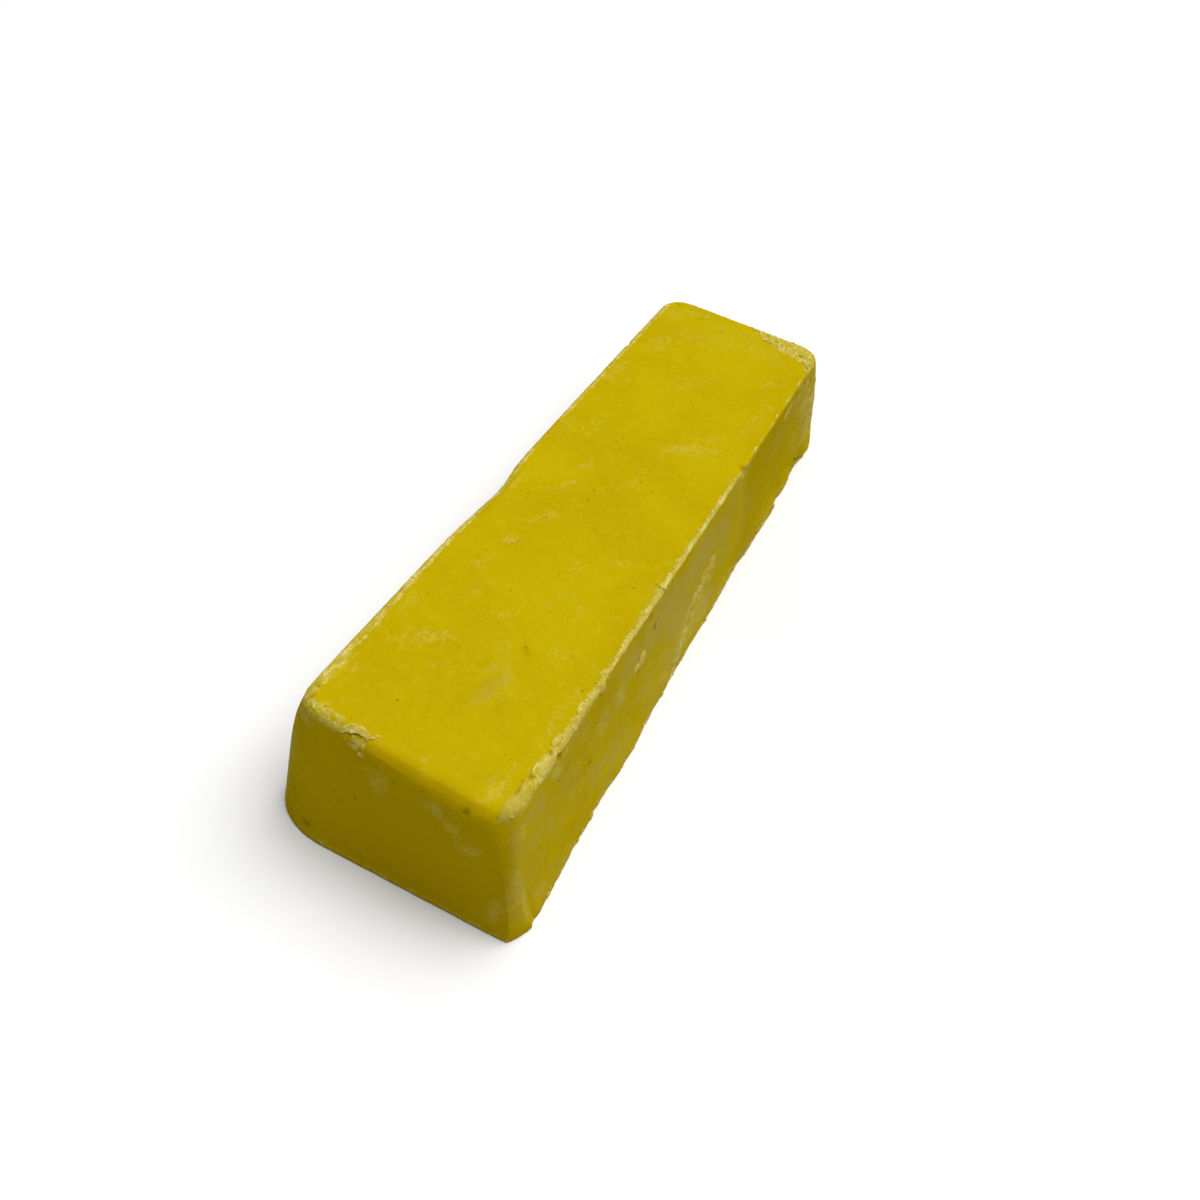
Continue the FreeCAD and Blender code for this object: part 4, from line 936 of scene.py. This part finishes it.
def strip(path, widths, lift, thick, seed, tone, curl=0.0, across=7, steps=48, towards=None):
    """A thin shaving or flake: a strip along a path, lens shaped in section and curled about its length."""
    path = np.asarray(path, float)
    s = np.linspace(0, 1, steps)
    knots = np.linspace(0, 1, len(path))
    line = np.column_stack([np.interp(s, knots, path[:, i]) for i in range(3)])
    for _ in range(6):
        line[1:-1] = (line[:-2] + 2 * line[1:-1] + line[2:]) / 4
    hits = [surface_point(p) for p in line]
    line = np.array([h[0] for h in hits])
    nrm = np.array([h[1] for h in hits])
    for _ in range(12):
        line[1:-1] = (line[:-2] + 2 * line[1:-1] + line[2:]) / 4
        nrm[1:-1] = (nrm[:-2] + 2 * nrm[1:-1] + nrm[2:]) / 4
    w = np.interp(s, np.linspace(0, 1, len(widths)), widths)
    up = np.interp(s, np.linspace(0, 1, len(lift)), lift)
    tangent = np.gradient(line, axis=0)
    tangent /= np.linalg.norm(tangent, axis=1)[:, None]
    if towards is not None:
        nrm = nrm + np.asarray(towards, float)
    nrm -= tangent * (nrm * tangent).sum(1)[:, None]
    nrm /= np.linalg.norm(nrm, axis=1)[:, None]
    side = np.cross(tangent, nrm)
    m = 2 * across
    rows = []
    for j in range(m):
        t = 2 * math.pi * j / m
        c, sn = math.cos(t), math.sin(t)
        ragged = 1 + 0.30 * gnoise(line + 7.7 * c, 0.8, seed=seed)
        rows.append(line + side * (w * c * ragged)[:, None]
                    + nrm * (thick * sn * np.sqrt(np.maximum(w / max(widths), 0.05)) + curl * c * c * w + up)[:, None])
    v = np.array(rows).transpose(1, 0, 2).reshape(-1, 3)
    faces = []
    for i in range(steps - 1):
        for j in range(m):
            k = (j + 1) % m
            faces += [(i * m + j, i * m + k, (i + 1) * m + k), (i * m + j, (i + 1) * m + k, (i + 1) * m + j)]
    a, b = len(v), len(v) + 1
    v = np.vstack([v, v[:m].mean(0), v[-m:].mean(0)])
    for j in range(m):
        k = (j + 1) % m
        faces += [(a, k, j), (b, (steps - 1) * m + j, (steps - 1) * m + k)]
    v = v + 0.05 * np.column_stack([gnoise(v, 0.5, seed=seed + i) for i in range(3)])
    return v, np.array(faces), tone


r = np.random.default_rng(77)


def from_cad(node, tone, height=1.0, shrink=1.0, sink=0.45, seed=0):
    """A detailed crumb in the place of each of a node's CAD solids."""
    lumps = []
    for i, (middle, axis, reach) in enumerate(solids(node)):
        size = (reach[0] * shrink, reach[1] * shrink, max(reach[2], 0.12) * height)
        lumps.append(crumb_at(middle, size, axis, seed + i, tone + r.uniform(-0.15, 0.15), sink))
    return lumps


# the curled flake on the front top edge
FLAKE_LINE = np.array([(-14.9, -97.0, 31.0), (-14.2, -96.5, 31.9), (-13.2, -96.1, 32.5), (-11.8, -95.8, 33.0), (-10.4, -95.8, 33.1),
                       (-9.4, -96.1, 32.6), (-8.8, -96.6, 31.9)])
mid, span = (flake_low + flake_high) / 2, (flake_high - flake_low) / 2
flake_path = [mid + v for v in FLAKE_LINE - FLAKE_LINE.mean(0) + (-1.0, 0.4, 0.2)]
flake = strip(flake_path, [0.20, 0.62, 0.88, 0.86, 0.80, 0.62, 0.18], [0.02, 0.14, 0.26, 0.30, 0.26, 0.16, 0.04], 0.16, 11, 0.95, curl=0.16,
              towards=(0, -0.35, 0))
group("edge_flake", [flake], "front_edge_flake")

# crumbs broken off beside it
front_lumps = from_cad("front_edge_crumbs", 0.70, 0.45, 0.8, seed=200)
for x, y, z, a, tone in ((-7.4, -95.6, 33.1, 0.62, 0.75), (-6.5, -95.9, 33.0, 0.30, 0.4), (-11.3, -97.1, 30.2, 0.55, 0.75),
                         (-10.0, -97.2, 30.1, 0.62, 0.85), (-8.7, -97.3, 29.8, 0.66, 0.90), (-9.4, -97.2, 30.5, 0.34, 0.6),
                         (-14.2, -100.7, 11.3, 0.42, 0.4), (-14.0, -100.2, 13.4, 0.30, 0.3), (-13.6, -100.6, 10.4, 0.26, 0.4),
                         (-22.9, -94.9, 32.6, 0.55, 0.75)):
    front_lumps.append(crumb_at((x, y, z), (a, a * 0.62, a * 0.34), (1, 0.1, -0.35), int(210 + abs(x) * 7), 0.8 * tone, 0.5))
group("edge_crumbs", front_lumps, "front_edge_crumbs")

# crust along the front left top corner
lumps = from_cad("front_corner_crust", 0.30, 0.22, 0.75, 0.55, seed=300)
rows = np.array([(-24.4, -92.6), (-23.9, -94.0), (-22.6, -95.2), (-20.9, -95.5), (-19.0, -95.5), (-17.0, -95.5), (-15.0, -95.6)])
for i in range(34):
    k = r.uniform(0, len(rows) - 1.001)
    j = int(k)
    c = rows[j] * (1 - (k - j)) + rows[j + 1] * (k - j) + (r.normal() * 0.4, r.normal() * 0.65)
    a = r.uniform(0.16, 0.42)
    lumps.append(crumb_at((c[0], c[1], 33.0), (a, a * 0.7, a * 0.16), (1, r.uniform(-0.8, 0.4), 0), 320 + i,
                          r.uniform(0.05, 0.5), 0.55))
group("corner_crust_front", lumps, "front_corner_crust")

# flakes along the worn right rim
lumps = from_cad("right_edge_flakes", 0.60, 0.22, 0.80, 0.62, seed=400)
for i in range(230):
    y = -97.5 + 123.5 * (i + r.uniform(0, 1)) / 230
    wide = np.interp(y, [-99, -94, -80, -60, -36, 5, 26], [2.5, 2.5, 1.8, 1.2, 1.5, 1.2, 0.8])
    edge = TOP[1, 0] + 0.72 * (y - TOP[1, 1]) / 195.5
    x = edge - wide * r.beta(1.6, 1.3)
    a = r.uniform(0.14, 0.46) * (0.8 if y > -50 else 1.0)
    z = TOP_Z[1] + 0.1
    if r.uniform() < (0.35 if y < -60 else 0.12):
        x, z = edge + 0.35, z - r.uniform(0.4, 1.6)
    if y < -86 and i % 3:
        continue
    lumps.append(crumb_at((x, y, z), (a, a * r.uniform(0.5, 0.8), a * (0.30 if y > -86 else 0.18)), (r.uniform(-0.3, 0.3), 1, 0), 500 + i,
                          r.uniform(0.2, 0.95), 0.5))
group("rim_flakes", lumps, "right_edge_flakes")

# the shaving stuck to the right wall: thick and raised at the top, with a thin tail
low, high = (np.array(v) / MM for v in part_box("side_face_shaving"))
mid, span = (low + high) / 2, (high - low) / 2
tail = [(mid[0], mid[1] + u * span[1], mid[2] + w) for u, w in
        ((1.05, 0.5), (0.80, 0.25), (0.50, -0.10), (0.15, -0.40), (-0.20, -0.70), (-0.60, -1.00), (-0.95, -1.5))]
shaving = strip(tail, [0.55, 1.35, 1.65, 1.50, 1.10, 0.70, 0.20], [0.02, 0.12, 0.17, 0.12, 0.05, 0.0, -0.04], 0.28, 21, 0.92, curl=0.0)
group("wall_shaving", [shaving], "side_face_shaving")

# crust on the back right corner of the top
lumps = from_cad("back_corner_crust", 0.55, 0.28, 0.70, 0.55, seed=600)
path = np.array(crust_path)
for i in range(260):
    k = r.uniform(0, 1) ** 0.8 * (len(path) - 1.001)
    j = int(k)
    c = path[j] * (1 - (k - j)) + path[j + 1] * (k - j)
    wide = np.interp(k, [0, 1, 2, 3, 4, 5, 6, 7], [0.4, 1.0, 2.2, 3.4, 3.4, 3.0, 1.7, 0.4])
    c = c + r.normal(size=2) * wide * 0.5
    a = r.uniform(0.16, 0.50)
    lumps.append(crumb_at((c[0], c[1], 33.0), (a, a * r.uniform(0.6, 0.9), a * 0.20), (r.normal(), r.normal(), 0), 700 + i,
                          r.uniform(0.0, 0.9), 0.5))
group("corner_crust_back", lumps, "back_corner_crust")

# the smear on the top face
low, high = (np.array(v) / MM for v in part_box("top_face_smear"))
mid = (low + high) / 2
smear = [crumb_at(mid + (0.0, 0.0, 0), (1.15, 0.70, 0.12), (0.6, 0.8, 0), 901, 0.40, 0.5),
         crumb_at(mid + (1.1, 0.8, 0), (0.60, 0.40, 0.09), (0.9, 0.4, 0), 902, 0.30, 0.5),
         crumb_at(mid + (-0.9, -0.9, 0), (0.45, 0.30, 0.08), (0.4, 0.9, 0), 903, 0.25, 0.5)]
group("top_smear", smear, "top_face_smear")

# crumbs along the torn foot of the right wall
lumps = from_cad("base_rim_crumbs", 0.35, 0.9, 0.9, 0.5, seed=950)
for i in range(90):
    y = r.uniform(-99, 97)
    x = BASE[1, 0] + (BASE[2, 0] - BASE[1, 0]) * (y + 102.6) / 205.3
    a = r.uniform(0.18, 0.50)
    lumps.append(crumb_at((x, y, r.uniform(0.3, 1.9)), (a, a * 0.7, a * 0.45), (0, 1, r.uniform(-0.4, 0.4)), 1000 + i,
                          r.uniform(-0.1, 0.7), 0.5))
# four larger crumbs low under the foot near the back, given a dark tone
for x, y, z, a in ((29.1, 83.0, 3.4, 0.9), (29.3, 85.0, 2.6, 0.8), (29.4, 87.0, 2.2, 0.7), (29.0, 81.2, 2.0, 0.6)):
    lumps.append(crumb_at((x, y, z), (a, a * 0.7, a * 0.5), (0, 1, -0.2), int(1200 + y), -0.75, 0.5))
group("base_crumbs", lumps, "base_rim_crumbs")


# ------------------------------------------------------------------ floor, light, camera
def floor_mesh():
    n = 24
    s = np.linspace(-3200, 3200, n + 1)
    gx, gy = np.meshgrid(s, s)
    v = np.column_stack([gx.ravel(), gy.ravel(), np.full(gx.size, -0.03)])
    ids = np.arange((n + 1) ** 2).reshape(n + 1, n + 1)
    f = np.stack([ids[:-1, :-1], ids[:-1, 1:], ids[1:, 1:], ids[1:, :-1]], -1).reshape(-1, 4)
    return make_mesh("studio_floor", v, f, {})


floor = floor_mesh()
floor_material = bpy.data.materials.new("studio_floor")
n = Nodes(floor_material)
where = n.add("ShaderNodeTexCoord").outputs["Object"]
tone = n.mix(n.ramp(n.noise(where, 9.0, 3.0), 0.3, 0.7), (0.690, 0.690, 0.690), (0.705, 0.705, 0.705))
shader = n.add("ShaderNodeBsdfPrincipled", Roughness=0.85)
n.feed(shader, "Base Color", tone)
shader.inputs["Specular IOR Level"].default_value = 0.1
output = n.add("ShaderNodeOutputMaterial")
n.tree.links.new(shader.outputs[0], output.inputs[0])
floor.data.materials.append(floor_material)

world = bpy.data.worlds.new("studio")
bpy.context.scene.world = world
world.use_nodes = True
world.node_tree.nodes["Background"].inputs[0].default_value = (1.0, 1.0, 1.0, 1.0)
world.node_tree.nodes["Background"].inputs[1].default_value = 0.10

sun_data = bpy.data.lights.new("soft_overhead", "SUN")
sun_data.energy = 4.45
sun_data.angle = math.radians(55)
sun = bpy.data.objects.new("soft_overhead", sun_data)
bpy.context.scene.collection.objects.link(sun)
towards = np.array((0.15, 0.25, 0.95))
towards = towards / np.linalg.norm(towards)
z_axis = towards
x_axis = np.cross((0, 1, 0), z_axis)
x_axis = x_axis / np.linalg.norm(x_axis)
y_axis = np.cross(z_axis, x_axis)
sun.matrix_world = Matrix([[x_axis[0], y_axis[0], z_axis[0], 0], [x_axis[1], y_axis[1], z_axis[1], 0],
                           [x_axis[2], y_axis[2], z_axis[2], 1.0], [0, 0, 0, 1]])

camera_data = bpy.data.cameras.new("camera")
camera_data.lens = 33.0
camera_data.sensor_width = 36.0
camera_data.clip_start = 0.01
camera_data.clip_end = 20.0
camera = bpy.data.objects.new("camera", camera_data)
bpy.context.scene.collection.objects.link(camera)
RX = (0.89349232, 0.42168284, 0.15445083)
RY = (-0.39981923, 0.59034836, 0.70116574)
RZ = (0.20448977, -0.68823861, 0.69606863)
CAM = (62.277, -204.414, 201.513)
camera.matrix_world = Matrix([[RX[0], RY[0], RZ[0], CAM[0] * MM], [RX[1], RY[1], RZ[1], CAM[1] * MM],
                              [RX[2], RY[2], RZ[2], CAM[2] * MM], [0, 0, 0, 1]])
bpy.context.scene.camera = camera
bpy.context.scene.view_settings.view_transform = "Standard"
bpy.context.scene.view_settings.look = "None"
bpy.context.scene.view_settings.exposure = 0.0
bpy.context.scene.view_settings.gamma = 1.0
